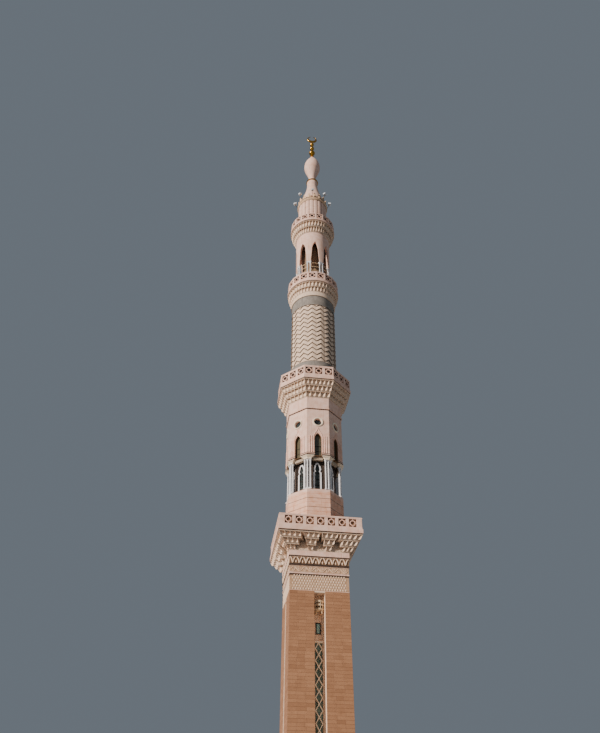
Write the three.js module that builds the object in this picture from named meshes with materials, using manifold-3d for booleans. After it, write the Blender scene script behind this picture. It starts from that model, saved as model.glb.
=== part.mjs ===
// A five-tier minaret as a model at one tenth of its real size, in millimetres, with +Z up.
// The origin is the centre of its base, and the front face of the square shaft looks along -Y.
// From the ground up: square granite shaft, octagon with colonnettes, carved cylinder,
// open drum, and a fluted crown with a gilded bulb and crescent.
import * as THREE from 'three';
import { mergeVertices } from 'three/addons/utils/BufferGeometryUtils.js';
import Module from 'manifold-3d';

const wasm = await Module();
wasm.setup();

// Driving heights above the ground, at the foot of each stage.
const Z = {
  shaft: 20, carving: 2445, muqarnas1: 2829, floor1: 2990, terrace1: 3033, rail1: 3155,
  octagonFloor: 3480, colonnade: 3507, lintel: 3862, arcade: 3904, spring: 4113, apex: 4176,
  oculus: 4334, band: 4510, muqarnas2: 4660, floor2: 4863, terrace2: 4898, rail2: 5043,
  cylinder: 5225, collar: 6154, neck3: 6314, muqarnas3: 6380, floor3: 6541, terrace3: 6576,
  rail3: 6710, pierFoot: 7030, drumSpring: 7269, drumApex: 7428, muqarnas4: 7622, floor4: 7810,
  terrace4: 7845, rail4: 7960, cornice: 8396, roof: 8440, crest: 8570, ring: 9070,
  bulb: 9094, bulbTop: 9799, crescent: 10222, crescentMiddle: 10299,
};

// Driving half-widths: a square's or octagon's are measured to the middle of a side.
const R = {
  shaft: 282, balcony1: 417, octagonBase: 290, octagon: 298, octagonInner: 220, balcony2: 415,
  cylinder: 281, neck3: 290, balcony3: 342, drum: 237, drumCore: 150, balcony4: 319, crown: 204,
  ring: 93,
};

const WALL = 45;
const GAP = 0.3;
const ROUND = 32;
const BAYS = 18;
const SQUARE = 4;
const OCTAGON = 8;

const FINISH = {
  granite: { color: 0xb08a6c, roughness: 0.6, metalness: 0 },
  pinkStone: { color: 0xdec6b7, roughness: 0.75, metalness: 0 },
  creamStone: { color: 0xd7c3a0, roughness: 0.8, metalness: 0 },
  greyStone: { color: 0xa59b91, roughness: 0.7, metalness: 0 },
  marble: { color: 0xe4dfe0, roughness: 0.35, metalness: 0 },
  gilding: { color: 0xc08a34, roughness: 0.3, metalness: 1 },
  lampMetal: { color: 0xd8d8d4, roughness: 0.4, metalness: 0.6 },
};

const part = new THREE.Group();

function addPiece(name, geometry, finish) {
  const piece = new THREE.Mesh(geometry, new THREE.MeshStandardMaterial(FINISH[finish]));
  piece.name = name;
  part.add(piece);
  return piece;
}

// Shared corners are merged and the slivers where a profile meets the axis are dropped.
function closed(geometry) {
  const bare = geometry.clone();
  bare.deleteAttribute('normal');
  bare.deleteAttribute('uv');
  const merged = mergeVertices(bare, 1e-3);
  const index = [];
  for (let i = 0; i < merged.index.count; i += 3) {
    const [a, b, c] = [0, 1, 2].map((k) => merged.index.getX(i + k));
    if (a !== b && b !== c && c !== a) index.push(a, b, c);
  }
  merged.setIndex(index);
  return merged;
}

function toSolid(geometry) {
  const shape = closed(geometry);
  return new wasm.Manifold(new wasm.Mesh({
    numProp: 3,
    vertProperties: shape.attributes.position.array,
    triVerts: new Uint32Array(shape.index.array),
  }));
}

function toGeometry(solid) {
  const shape = solid.getMesh();
  const geometry = new THREE.BufferGeometry();
  geometry.setAttribute('position', new THREE.BufferAttribute(shape.vertProperties, 3));
  geometry.setIndex(new THREE.BufferAttribute(shape.triVerts, 1));
  geometry.computeVertexNormals();
  return geometry;
}

const joined = (geometries) => geometries.map(toSolid).reduce((all, next) => all.add(next));
const without = (body, cutters) => cutters.map(toSolid).reduce((left, cut) => left.subtract(cut), body);

// A profile of [half-width, height] points turned about the tower's axis into a prism of
// the given number of sides, one of which faces the front. The outer side runs upwards.
function turned(profile, sides) {
  const toCorner = sides > OCTAGON ? 1 : 1 / Math.cos(Math.PI / sides);
  const points = profile.map(([halfWidth, z]) => new THREE.Vector2(halfWidth * toCorner, z));
  return closed(new THREE.LatheGeometry(points, sides, Math.PI / sides).rotateX(Math.PI / 2));
}

function ringWall(sides, outer, inner, bottom, top) {
  return turned([[inner, bottom], [outer, bottom], [outer, top], [inner, top], [inner, bottom]], sides);
}

function plate(sides, halfWidth, bottom, top) {
  return turned([[0, bottom], [halfWidth, bottom], [halfWidth, top], [0, top]], sides);
}

// An outline drawn in x and z, as thick as asked, standing with its outer side at y = -front.
function upright(shape, front, depth, curveSegments = 4) {
  const slab = new THREE.ExtrudeGeometry(shape, { depth, bevelEnabled: false, curveSegments });
  return closed(slab.rotateX(Math.PI / 2).translate(0, depth - front, 0));
}

function flat(shape, bottom, height, curveSegments = 4) {
  const slab = new THREE.ExtrudeGeometry(shape, { depth: height, bevelEnabled: false, curveSegments });
  return closed(slab.translate(0, 0, bottom));
}

function outline(points) {
  return new THREE.Shape(points.map(([x, y]) => new THREE.Vector2(x, y)));
}

const rectangle = (left, bottom, right, top) =>
  outline([[left, bottom], [right, bottom], [right, top], [left, top]]);

// A pointed arch whose jambs may flare out to a wider foot.
function pointedArch(halfWidth, sill, spring, apex, foot = halfWidth) {
  const rise = apex - spring;
  const offset = (rise * rise - halfWidth * halfWidth) / (2 * halfWidth);
  const radius = halfWidth + offset;
  const sweep = Math.atan2(rise, offset);
  const shape = new THREE.Shape();
  shape.moveTo(-foot, sill);
  shape.lineTo(foot, sill);
  shape.absarc(-offset, spring, radius, 0, sweep, false);
  shape.absarc(offset, spring, radius, Math.PI - sweep, Math.PI, false);
  return shape;
}

const turnedBy = (geometry, angle) => geometry.clone().rotateZ(angle);
const around = (geometry, count) =>
  Array.from({ length: count }, (_, k) => turnedBy(geometry, (k * 2 * Math.PI) / count));

// Rows of corbelled niches are steps that lean out quickly and then stand upright.
function corbelRows(sides, inner, from, to, foot, bottom, top, rows) {
  const lean = 0.3;
  const [rise, step] = [(top - bottom) / rows, (to - from) / rows];
  const profile = [[inner, foot], [from, foot]];
  if (bottom > foot) profile.push([from, bottom]);
  for (let row = 0; row < rows; row += 1) {
    const [out, low] = [from + (row + 1) * step, bottom + row * rise];
    profile.push([out, low + lean * rise], [out, low + rise]);
  }
  profile.push([inner, top], [inner, foot]);
  return turned(profile, sides);
}

const rail = { set: 4, proud: 5, panel: 10, height: 14 };

// A stone balustrade: thin panels, a top rail, and posts at the ends of every bay.
function balustrade(sides, halfWidth, bottom, top, bays, pitch, post) {
  const outer = halfWidth - rail.set;
  const face = outer - rail.proud;
  const back = face - rail.panel;
  const under = top - rail.height;
  const ring = turned([
    [back, bottom], [face, bottom], [face, under], [outer, under], [outer, top],
    [back, top], [back, bottom],
  ], sides);
  const middle = sides > OCTAGON ? face * Math.cos(Math.PI / sides) : face;
  const depth = 2 * rail.proud - 1;
  const reach = (middle + depth / 2) * Math.tan(Math.PI / sides);
  const step = pitch || (2 * middle * Math.tan(Math.PI / sides)) / bays;
  const height = under - bottom + 3;
  const posts = [];
  for (let i = 0; i <= bays; i += 1) {
    const centre = (i - bays / 2) * step;
    const left = i === 0 ? -reach : centre - post / 2;
    const right = i === bays ? reach : centre + post / 2;
    const box = new THREE.BoxGeometry(right - left, depth, height);
    posts.push(...around(box.translate((left + right) / 2, -middle, bottom + height / 2), sides));
  }
  return toGeometry(joined([ring, ...posts]));
}

const SIDES = ['south', 'east', 'north', 'west'];
const CORNERS = ['southeast', 'northeast', 'northwest', 'southwest'];

// The square shaft: four hollow corner piers with a deep recess between each pair.
const recess = {
  halfWidth: 58, depth: 100, back: 130, lining: 7, pilaster: 22, pilasterDepth: 18, cap: 12, return: 35,
};

function squareShaft() {
  const outer = R.shaft;
  const inner = outer - WALL;
  const jamb = outer - recess.back;
  const side = recess.halfWidth;
  const returnWall = side + recess.return;
  const section = outline([
    [side, -outer], [outer, -outer], [outer, -side], [jamb, -side], [jamb, -returnWall],
    [inner, -returnWall], [inner, -inner], [returnWall, -inner], [returnWall, -jamb], [side, -jamb],
  ]);
  addPiece('shaft_base', plate(SQUARE, outer, 0, Z.shaft), 'granite');
  CORNERS.forEach((corner, k) => {
    const pier = flat(section, Z.shaft, Z.carving - Z.shaft);
    addPiece(`shaft_pier_${corner}`, turnedBy(pier, (k * Math.PI) / 2), 'granite');
  });
}

const shaftWindow = { halfWidth: 21, bottom: 2086, top: 2184 };
const latticePanel = { halfWidth: 35, top: 2007, cell: 101, cells: 13, bar: 7, depth: 14, ledge: 10 };
const oriel = {
  radius: 46, slab: [2282, 2300], rails: [[2322, 2340], [2354, 2374]], rail: 7,
  post: 8, posts: 4, console: { across: 26, width: 12, depth: 30, bottom: 2256 },
};

function recessWall() {
  const edge = recess.halfWidth - GAP;
  const lined = edge - recess.lining;
  const front = R.shaft;
  const back = front - recess.depth;
  const step = back + recess.pilasterDepth;
  const pilaster = edge - recess.pilaster;
  const section = outline([
    [-edge, -front], [-lined, -front], [-lined, -step], [-pilaster, -step], [-pilaster, -back],
    [pilaster, -back], [pilaster, -step], [lined, -step], [lined, -front], [edge, -front],
    [edge, -front + recess.back], [-edge, -front + recess.back],
  ]);
  const cap = rectangle(-edge, -front, edge, recess.back - front);
  const wall = joined([
    flat(section, Z.shaft, Z.carving - Z.shaft),
    flat(cap, Z.carving - recess.cap, recess.cap),
  ]);
  const { halfWidth, bottom, top } = shaftWindow;
  const hole = rectangle(-halfWidth, bottom, halfWidth, top);
  return toGeometry(without(wall, [upright(hole, back + 10, recess.back - recess.depth + 20)]));
}

// Two zigzag bars that cross on the middle line make a chain of diamonds under a small ledge.
function latticeScreen() {
  const { halfWidth, top, cell, cells, bar, depth, ledge } = latticePanel;
  const slope = Math.hypot(halfWidth, cell / 2) * (bar / 2);
  const [across, along] = [slope / (cell / 2), slope / halfWidth];
  const side = (sign, start) => Array.from({ length: cells }, (_, i) => {
    const low = top - (start ? cells - i : i + 1) * cell;
    const corner = [sign * halfWidth, low + cell / 2];
    return start ? [[sign * across, low], corner] : [corner, [sign * across, low]];
  }).flat();
  const right = [...side(1, true).slice(1), [across, top]];
  const left = [[-across, top], ...side(-1, false).slice(0, -1)];
  const shape = outline([[0, top - cells * cell - along], ...right, [0, top + along], ...left]);
  for (let i = 0; i < cells; i += 1) {
    const [low, high] = [top - (i + 1) * cell, top - i * cell];
    const inner = halfWidth - 2 * across;
    shape.holes.push(outline([
      [0, low + along], [inner, (low + high) / 2], [0, high - along], [-inner, (low + high) / 2],
    ]));
  }
  const wallFace = R.shaft - recess.depth + GAP;
  const strip = (bottom) => upright(
    rectangle(-halfWidth, bottom, halfWidth, bottom + ledge), wallFace + depth + ledge, depth + ledge);
  return toGeometry(joined([
    upright(shape, wallFace + depth, depth), strip(top), strip(top - cells * cell - ledge),
  ]));
}

function halfDisc(outer, inner) {
  const shape = new THREE.Shape();
  shape.absarc(0, 0, outer, Math.PI, 2 * Math.PI, false);
  if (inner) {
    shape.lineTo(inner, 0);
    shape.absarc(0, 0, inner, 2 * Math.PI, Math.PI, true);
  }
  return shape;
}

// A little rounded balcony in the head of the recess: consoles, slab, two rails and posts.
function orielBalcony() {
  const { radius, slab, rails, post, posts, console: bracket } = oriel;
  const inner = radius - oriel.rail;
  const solids = [flat(halfDisc(radius, 0), slab[0], slab[1] - slab[0])];
  for (const [low, high] of rails) solids.push(flat(halfDisc(radius, inner), low, high - low));
  for (const sign of [-1, 1]) {
    const middle = sign * bracket.across;
    const foot = rectangle(middle - bracket.width / 2, -bracket.depth, middle + bracket.width / 2, 0);
    solids.push(flat(foot, bracket.bottom, slab[1] - bracket.bottom));
  }
  const [bottom, top] = [slab[0], rails.at(-1)[1]];
  for (let i = 0; i < posts; i += 1) {
    const angle = Math.PI * (1 + (i + 0.5) / posts);
    const box = new THREE.BoxGeometry(oriel.rail, post, top - bottom);
    box.rotateZ(angle).translate(0, 0, (top + bottom) / 2);
    const out = radius - oriel.rail / 2 - 1;
    solids.push(closed(box.translate(Math.cos(angle) * out, Math.sin(angle) * out, 0)));
  }
  const wallFace = R.shaft - recess.depth + recess.pilasterDepth + GAP;
  return toGeometry(joined(solids)).translate(0, -wallFace, 0);
}

function shaftFaces() {
  const pieces = [
    ['recess_wall', recessWall(), 'pinkStone'],
    ['lattice_screen', latticeScreen(), 'creamStone'],
    ['oriel_balcony', orielBalcony(), 'creamStone'],
  ];
  SIDES.forEach((side, k) => {
    for (const [name, geometry, finish] of pieces) {
      addPiece(`${name}_${side}`, turnedBy(geometry, (k * Math.PI) / 2), finish);
    }
  });
}

// Carved courses over the granite: the top of each, and how proud of the shaft it stands.
const COURSES = [[2604, 0], [2617, 5], [2679, 2], [2695, 8], [2774, 5], [Z.muqarnas1, 12]];

function carvedCourses() {
  const inner = R.shaft - WALL;
  const profile = [[inner, Z.carving]];
  let bottom = Z.carving;
  for (const [top, proud] of COURSES) {
    profile.push([R.shaft + proud, bottom], [R.shaft + proud, top]);
    bottom = top;
  }
  profile.push([inner, Z.muqarnas1], [inner, Z.carving]);
  addPiece('carved_courses', turned(profile, SQUARE), 'pinkStone');
}

// A balcony: corbels from one half-width out to another, a floor and a balustrade. The round
// ones are turned by half a bay, so that a post looks to the front.
function balcony(level, { sides, facets, inner, from, to, foot, rows, bays, pitch, post }) {
  const z = (name) => Z[`${name}${level}`];
  const corbel = corbelRows(facets, inner, from, to - rail.set, foot || z('muqarnas'), z('muqarnas'),
    z('floor'), rows);
  addPiece(`muqarnas_${level}`, corbel, 'creamStone');
  addPiece(`balcony_floor_${level}`, plate(facets, to, z('floor'), z('terrace')), 'pinkStone');
  const fence = balustrade(sides, to, z('terrace'), z('rail'), bays, pitch, post);
  const turn = sides > OCTAGON ? Math.PI / sides : 0;
  addPiece(`balustrade_${level}`, turnedBy(fence, turn), 'pinkStone');
}

// The octagon: a stone foot, three colonnettes at each corner, and a wall of pointed arches.
const colonnette = { radius: 9.5, spacing: 33, sides: 8 };
const CORNERS_OF_EIGHT = ['sse', 'ese', 'ene', 'nne', 'nnw', 'wnw', 'wsw', 'ssw'];

function colonnetteCluster() {
  const corner = (R.octagonBase - 14) / Math.cos(Math.PI / OCTAGON);
  const turn = Math.PI / OCTAGON;
  const foot = 12;
  const block = (width, depth, bottom, top) =>
    new THREE.BoxGeometry(width, depth, top - bottom).translate(0, 10 - corner, (top + bottom) / 2);
  const solids = [
    block(88, 36, Z.colonnade, Z.colonnade + foot),
    block(84, 36, Z.lintel, Z.lintel + 20),
    block(92, 42, Z.lintel + 18, Z.arcade),
  ];
  const height = Z.lintel - Z.colonnade - foot;
  for (const place of [-1, 0, 1]) {
    const shaft = new THREE.CylinderGeometry(colonnette.radius, colonnette.radius, height + 4, colonnette.sides);
    const back = 6 + Math.abs(place) * colonnette.spacing * Math.sin(turn) * 0.5;
    shaft.rotateX(Math.PI / 2);
    shaft.translate(place * colonnette.spacing * Math.cos(turn), back - corner, Z.colonnade + foot + height / 2);
    solids.push(shaft);
  }
  return turnedBy(toGeometry(joined(solids)), turn);
}

const slot = { halfWidth: 34 };
const oculus = { radius: 37 };
const innerWindow = { halfWidth: 27, sill: 3530, spring: 3790, apex: 3850 };
const openArch = { halfWidth: 45, foot: 63 };
const wallThickness = 34;
const lintel = { halfWidth: 56, front: 276, depth: 28, lap: 4 };

function octagonArcade() {
  const apron = rectangle(-lintel.halfWidth, Z.lintel, lintel.halfWidth, Z.arcade + lintel.lap);
  const wall = joined([
    ringWall(OCTAGON, R.octagon, R.octagon - wallThickness, Z.arcade, Z.band),
    ...around(upright(apron, lintel.front, lintel.depth), OCTAGON),
  ]);
  const arch = pointedArch(slot.halfWidth, Z.arcade + lintel.lap, Z.spring, Z.apex);
  const eye = new THREE.Shape();
  eye.absarc(0, Z.oculus, oculus.radius, 0, 2 * Math.PI, false);
  const cutters = [arch, eye].flatMap((shape) =>
    around(upright(shape, R.octagon + 20, wallThickness + 60), OCTAGON));
  return toGeometry(without(wall, cutters));
}

function octagonInnerWall() {
  const inner = R.octagonInner - wallThickness;
  const wall = toSolid(ringWall(OCTAGON, R.octagonInner, inner, Z.colonnade, Z.lintel));
  const { halfWidth, sill, spring, apex } = innerWindow;
  const arch = upright(pointedArch(halfWidth, sill, spring, apex), R.octagonInner + 20, wallThickness + 50);
  return toGeometry(without(wall, around(arch, OCTAGON)));
}

function octagonTier() {
  const inner = R.octagonBase - WALL;
  addPiece('octagon_foot', ringWall(OCTAGON, R.octagonBase, inner, Z.terrace1, Z.octagonFloor), 'pinkStone');
  addPiece('octagon_floor', plate(OCTAGON, R.octagonBase, Z.octagonFloor, Z.colonnade), 'pinkStone');
  CORNERS_OF_EIGHT.forEach((corner, k) => {
    addPiece(`colonnettes_${corner}`, turnedBy(colonnetteCluster(), (k * Math.PI) / 4), 'marble');
  });
  addPiece('octagon_inner_wall', octagonInnerWall(), 'marble');
  const [edge, back] = [R.octagon, R.octagonInner - wallThickness];
  addPiece('octagon_inner_ring', ringWall(OCTAGON, R.octagonInner, back, Z.lintel, Z.band), 'marble');
  addPiece('octagon_arcade', octagonArcade(), 'pinkStone');
  const moulding = { proud: 9, height: 16, top: 6 };
  addPiece('octagon_band', turned([
    [back, Z.band], [edge + moulding.proud, Z.band], [edge + moulding.proud, Z.band + moulding.height],
    [edge + 1, Z.band + moulding.height], [edge + moulding.top, Z.muqarnas2], [back, Z.muqarnas2],
    [back, Z.band],
  ], OCTAGON), 'pinkStone');
}

function cylinderTier() {
  const inner = R.cylinder - WALL;
  addPiece('cylinder_foot', ringWall(ROUND, R.cylinder + 6, inner, Z.terrace2, Z.cylinder), 'greyStone');
  addPiece('cylinder_shaft', ringWall(ROUND, R.cylinder, inner, Z.cylinder, Z.collar), 'creamStone');
  addPiece('cylinder_collar', ringWall(ROUND, R.cylinder - 2, inner, Z.collar, Z.neck3), 'greyStone');
}

// The open drum: pairs of colonnettes carry piers between eight pointed arches.
function drumArcade() {
  const inner = R.drum - wallThickness;
  const wall = toSolid(ringWall(ROUND, R.drum, inner, Z.pierFoot, Z.muqarnas4));
  const arch = pointedArch(openArch.halfWidth, Z.pierFoot - 10, Z.drumSpring, Z.drumApex, openArch.foot);
  const cutter = upright(arch, R.drum + 20, wallThickness + 60);
  return toGeometry(without(wall, around(cutter, OCTAGON)));
}

const pair = { radius: 8, across: 21, capital: 24, block: 68, deep: 30, plinth: 20, plinthHalf: 14 };
const guard = { heights: [0.62, 0.78, 0.94], bar: 7, inset: 12 };

function drumColonnettes() {
  const radius = R.drum - wallThickness / 2;
  const turn = Math.PI / OCTAGON;
  const foot = Z.terrace3;
  const solids = [ringWall(BAYS, radius + pair.plinthHalf, radius - pair.plinthHalf, foot, foot + pair.plinth)];
  for (const height of guard.heights) {
    const z = foot + (Z.pierFoot - foot) * height;
    solids.push(ringWall(OCTAGON * 2, radius - guard.inset + 8, radius - guard.inset, z, z + guard.bar));
  }
  const block = new THREE.BoxGeometry(pair.block, pair.deep, pair.capital);
  block.translate(0, -radius, Z.pierFoot - pair.capital / 2);
  solids.push(...around(turnedBy(block, turn), OCTAGON));
  const height = Z.pierFoot - foot - pair.capital;
  for (const side of [-1, 1]) {
    const shaft = new THREE.CylinderGeometry(pair.radius, pair.radius, height + 2, colonnette.sides);
    shaft.rotateX(Math.PI / 2).translate(side * pair.across, 1 - radius, foot + height / 2 + 1);
    solids.push(...around(turnedBy(shaft, turn), OCTAGON));
  }
  return toGeometry(joined(solids));
}

function drumTier() {
  addPiece('drum_core', ringWall(ROUND / 2, R.drumCore, R.drumCore - WALL, Z.terrace3, Z.muqarnas4), 'granite');
  addPiece('drum_colonnettes', drumColonnettes(), 'marble');
  addPiece('drum_arcade', drumArcade(), 'pinkStone');
}

// The crown: a fluted drum, a leafed cornice, a bell-shaped roof and the gilded finial.
const flute = { count: 20, land: 0.72, swell: 5, groove: 10, turn: -4 * (Math.PI / 180) };

function flutedDrum() {
  const pitch = (2 * Math.PI) / flute.count;
  const at = (radius, angle) => [radius * Math.cos(angle), radius * Math.sin(angle)];
  const points = [];
  for (let i = 0; i < flute.count; i += 1) {
    const groove = flute.turn + i * pitch;
    const middle = groove + pitch / 2;
    const halfLand = (pitch / 2) * flute.land;
    points.push(at(R.crown - flute.groove, groove), at(R.crown, middle - halfLand),
      at(R.crown + flute.swell, middle), at(R.crown, middle + halfLand));
  }
  const shape = outline(points);
  shape.holes.push(new THREE.Path().absarc(0, 0, R.crown - WALL, 0, 2 * Math.PI, true));
  return flat(shape, Z.terrace4, Z.cornice - Z.terrace4, 20);
}

const cornice = { leaves: 16, proud: 22, slope: 24, notch: 79 };

function crownCornice() {
  const { leaves, proud, slope, notch } = cornice;
  const [inner, edge] = [R.crown - WALL, R.crown + proud];
  const ring = toSolid(turned([
    [inner, Z.cornice], [R.crown + 6, Z.cornice], [edge, Z.cornice + slope], [edge, Z.roof],
    [R.crown + 8, Z.roof], [R.crown + 14, Z.crest], [R.crown - 4, Z.crest], [R.crown - 14, Z.roof],
    [inner, Z.roof], [inner, Z.cornice],
  ], ROUND));
  const half = (R.crown + 20) * Math.tan(Math.PI / leaves);
  const valley = outline([[0, Z.cornice + notch], [half, Z.crest + 5], [-half, Z.crest + 5]]);
  const cutter = turnedBy(upright(valley, R.crown + 40, 80), Math.PI / leaves);
  return toGeometry(without(ring, around(cutter, leaves)));
}

// Eight floodlights on short stems that rise from a conduit ring on the cornice.
const lamp = {
  radius: 264, z: 8560, width: 46, length: 54, height: 24, tip: 0.3, stem: 6,
  ring: R.crown + 16, ringHalf: 4, turn: -7.5 * (Math.PI / 180),
};

function crownLamps() {
  const base = Z.roof + GAP;
  const [out, up] = [lamp.radius - lamp.ring, lamp.z - base];
  const stem = new THREE.BoxGeometry(lamp.stem, lamp.stem, Math.hypot(out, up));
  stem.rotateX(Math.atan2(out, up));
  stem.translate(0, -(lamp.radius + lamp.ring) / 2, (lamp.z + base) / 2 + lamp.stem / 2);
  const head = new THREE.BoxGeometry(lamp.width, lamp.length, lamp.height);
  head.rotateX(lamp.tip).translate(0, -lamp.radius, lamp.z);
  const solids = [
    ringWall(ROUND, lamp.ring + lamp.ringHalf, lamp.ring - lamp.ringHalf, base, base + 2 * lamp.ringHalf),
    ...around(stem, OCTAGON), ...around(head, OCTAGON),
  ];
  return turnedBy(toGeometry(joined(solids)), lamp.turn);
}

const BELL = [
  [184, Z.roof], [170, Z.crest], [154, 8640], [138, 8700], [122, 8750], [109, 8800], [98, 8850],
  [87, 8900], [82, 8950], [80, 8990], [80, 9030], [82, Z.ring],
];

function crownTier() {
  addPiece('fluted_drum', flutedDrum(), 'greyStone');
  addPiece('crown_cornice', crownCornice(), 'pinkStone');
  addPiece('crown_lamps', crownLamps(), 'lampMetal');
  addPiece('bell_roof', turned([[0, Z.roof], ...BELL, [0, Z.ring]], ROUND), 'pinkStone');
  addPiece('neck_ring', plate(ROUND, R.ring, Z.ring, Z.bulb), 'gilding');
}

const BULB = [
  [91, Z.bulb], [65, 9125], [52, 9160], [52, 9195], [59, 9235], [72, 9280], [89, 9330], [105, 9380],
  [119, 9430], [124.5, 9480], [122, 9530], [114, 9580], [97, 9630], [76, 9675], [55, 9715],
  [38, 9750], [24, 9775], [10, Z.bulbTop],
];
const BALLS = [[9907, 48], [10040, 36], [10151, 33]];
const staff = { foot: 28, footHeight: 51, bottom: 14, top: 10, sides: 12 };

function finial() {
  addPiece('finial_bulb', turned([[0, Z.bulb], ...BULB, [0, Z.bulbTop]], 24), 'pinkStone');
  const upstand = (low, high, bottom, top) => new THREE.CylinderGeometry(top, bottom, high - low, staff.sides)
    .rotateX(Math.PI / 2).translate(0, 0, (low + high) / 2);
  const collar = Z.bulbTop + staff.footHeight;
  const solids = [
    upstand(Z.bulbTop, Z.crescent, staff.bottom, staff.top),
    upstand(Z.bulbTop, collar, staff.foot, staff.bottom),
  ];
  for (const [z, radius] of BALLS) {
    solids.push(new THREE.SphereGeometry(radius, 16, 8).rotateX(Math.PI / 2).translate(0, 0, z));
  }
  addPiece('finial_staff', toGeometry(joined(solids)), 'gilding');
}

// The crescent opens upwards: a flattened ball less a smaller disc taken from its top.
const moon = { outer: 83, inner: 58, lift: 26, flatness: 0.27 };

function crescent() {
  const { outer, inner, lift, flatness } = moon;
  const ball = new THREE.SphereGeometry(outer, 32, 16).rotateX(Math.PI / 2).scale(1, flatness, 1);
  const hole = new THREE.CylinderGeometry(inner, inner, outer, 32).translate(0, 0, Z.crescentMiddle + lift);
  const below = new THREE.BoxGeometry(outer, outer, outer).translate(0, 0, Z.crescent - outer / 2);
  const body = toSolid(ball.translate(0, 0, Z.crescentMiddle));
  addPiece('crescent', toGeometry(without(body, [hole, below])), 'gilding');
}

squareShaft();
shaftFaces();
carvedCourses();
balcony(1, {
  sides: SQUARE, facets: SQUARE, inner: R.shaft - WALL, from: R.shaft + 12, to: R.balcony1,
  rows: 3, bays: 7, pitch: 106, post: 31,
});
octagonTier();
balcony(2, {
  sides: OCTAGON, facets: OCTAGON, inner: R.octagonInner - wallThickness, from: R.octagon + 8,
  to: R.balcony2, rows: 3, bays: 3, pitch: 114, post: 30,
});
cylinderTier();
balcony(3, {
  sides: BAYS, facets: ROUND, inner: R.cylinder - WALL, from: R.neck3, to: R.balcony3,
  foot: Z.neck3, rows: 2, bays: 1, post: 22,
});
drumTier();
balcony(4, {
  sides: BAYS, facets: ROUND, inner: R.drumCore - WALL, from: R.drum + 4, to: R.balcony4,
  rows: 2, bays: 1, post: 22,
});
crownTier();
finial();
crescent();

export default part;
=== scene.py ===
# %% [markdown]
# # A five-tier minaret, dressed in stone, marble and gilding
#
# The tower is a scale model at one tenth of its real size. Its construction comes from a
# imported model, the frame: this lesson never moves those solids. It gives them their finish,
# and where the real thing is carved or turned, it builds the carving around them.
# Lengths are in millimetres of the model until a mesh is made, which is in metres.

# %% Load the frame
import math

import bmesh
import bpy
import numpy as np
from mathutils import Matrix, Vector


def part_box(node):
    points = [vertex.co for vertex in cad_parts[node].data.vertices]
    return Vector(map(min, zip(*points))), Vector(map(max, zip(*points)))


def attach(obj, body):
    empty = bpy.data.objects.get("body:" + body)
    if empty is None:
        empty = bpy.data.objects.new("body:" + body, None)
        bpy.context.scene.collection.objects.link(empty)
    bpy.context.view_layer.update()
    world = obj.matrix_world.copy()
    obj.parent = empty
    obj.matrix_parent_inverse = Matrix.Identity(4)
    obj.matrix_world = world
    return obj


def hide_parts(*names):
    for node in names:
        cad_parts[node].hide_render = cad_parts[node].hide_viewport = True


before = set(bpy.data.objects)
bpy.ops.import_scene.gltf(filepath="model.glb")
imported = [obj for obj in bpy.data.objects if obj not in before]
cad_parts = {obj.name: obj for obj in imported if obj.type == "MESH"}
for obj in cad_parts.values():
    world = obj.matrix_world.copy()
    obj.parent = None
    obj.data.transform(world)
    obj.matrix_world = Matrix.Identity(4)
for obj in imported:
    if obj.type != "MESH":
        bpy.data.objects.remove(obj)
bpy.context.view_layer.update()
MM = 0.001
print("nodes in the frame:", len(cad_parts))


# %% [markdown]
# ## Reading sizes from the frame
#
# Every carved piece has to sit on the solid that carries it. So heights and half-widths are
# read from the frame, and only the sizes of the carving itself are written here.

# %% Heights and half-widths
def foot(node):
    """The height of a node's lowest point, in millimetres."""
    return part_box(node)[0].z / MM


def head(node):
    """The height of a node's highest point, in millimetres."""
    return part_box(node)[1].z / MM


def half(node):
    """A node's half-width to the middle of its front side, in millimetres."""
    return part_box(node)[1].y / MM


print("tower height", round(head("crescent")), "mm, shaft half-width", round(half("shaft_base")), "mm")


# %% [markdown]
# ## The camera
#
# The photograph was taken by someone standing near the foot of the tower and looking steeply
# up. A small pinhole-camera fit gave the place, the three angles and the focal length, in
# pixels of a picture 600 wide and 733 high. Blender measures its lens against the longer side.

# %% Place the camera
CAMERA_PLACE = (-0.9817, -6.3884, 0.16)
YAW, PITCH, ROLL = (math.radians(angle) for angle in (7.261, 38.808, 0.532))
FOCAL_PIXELS = 670.3
PICTURE_HEIGHT = 733
SENSOR = 36.0

ahead = Vector((math.sin(YAW) * math.cos(PITCH), math.cos(YAW) * math.cos(PITCH), math.sin(PITCH)))
level = Vector((math.cos(YAW), -math.sin(YAW), 0))
upward = level.cross(ahead)
right = level * math.cos(ROLL) + upward * math.sin(ROLL)
above = upward * math.cos(ROLL) - level * math.sin(ROLL)

camera_data = bpy.data.cameras.new("camera")
camera_data.sensor_width = SENSOR
camera_data.lens = FOCAL_PIXELS / PICTURE_HEIGHT * SENSOR
camera_data.clip_end = 200
camera = bpy.data.objects.new("camera", camera_data)
bpy.context.scene.collection.objects.link(camera)
camera.matrix_world = Matrix.Translation(CAMERA_PLACE) @ Matrix((right, above, -ahead)).transposed().to_4x4()
bpy.context.scene.camera = camera
print("lens", round(camera_data.lens, 2), "mm")


# %% [markdown]
# ## Colour and nodes
#
# Colours are picked as the hex values that a screen shows, and a shader works in linear light,
# so one function turns them. One more function adds a shader node with its settings and links,
# which keeps each material short enough to read as a recipe.

# %% Two helpers for materials
def srgb(code):
    """A hex colour such as dec6b7 as linear red, green, blue and full alpha."""
    channels = [int(code[i:i + 2], 16) / 255 for i in (0, 2, 4)]
    linear = [c / 12.92 if c <= 0.04045 else ((c + 0.055) / 1.055) ** 2.4 for c in channels]
    return (*linear, 1.0)


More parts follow.
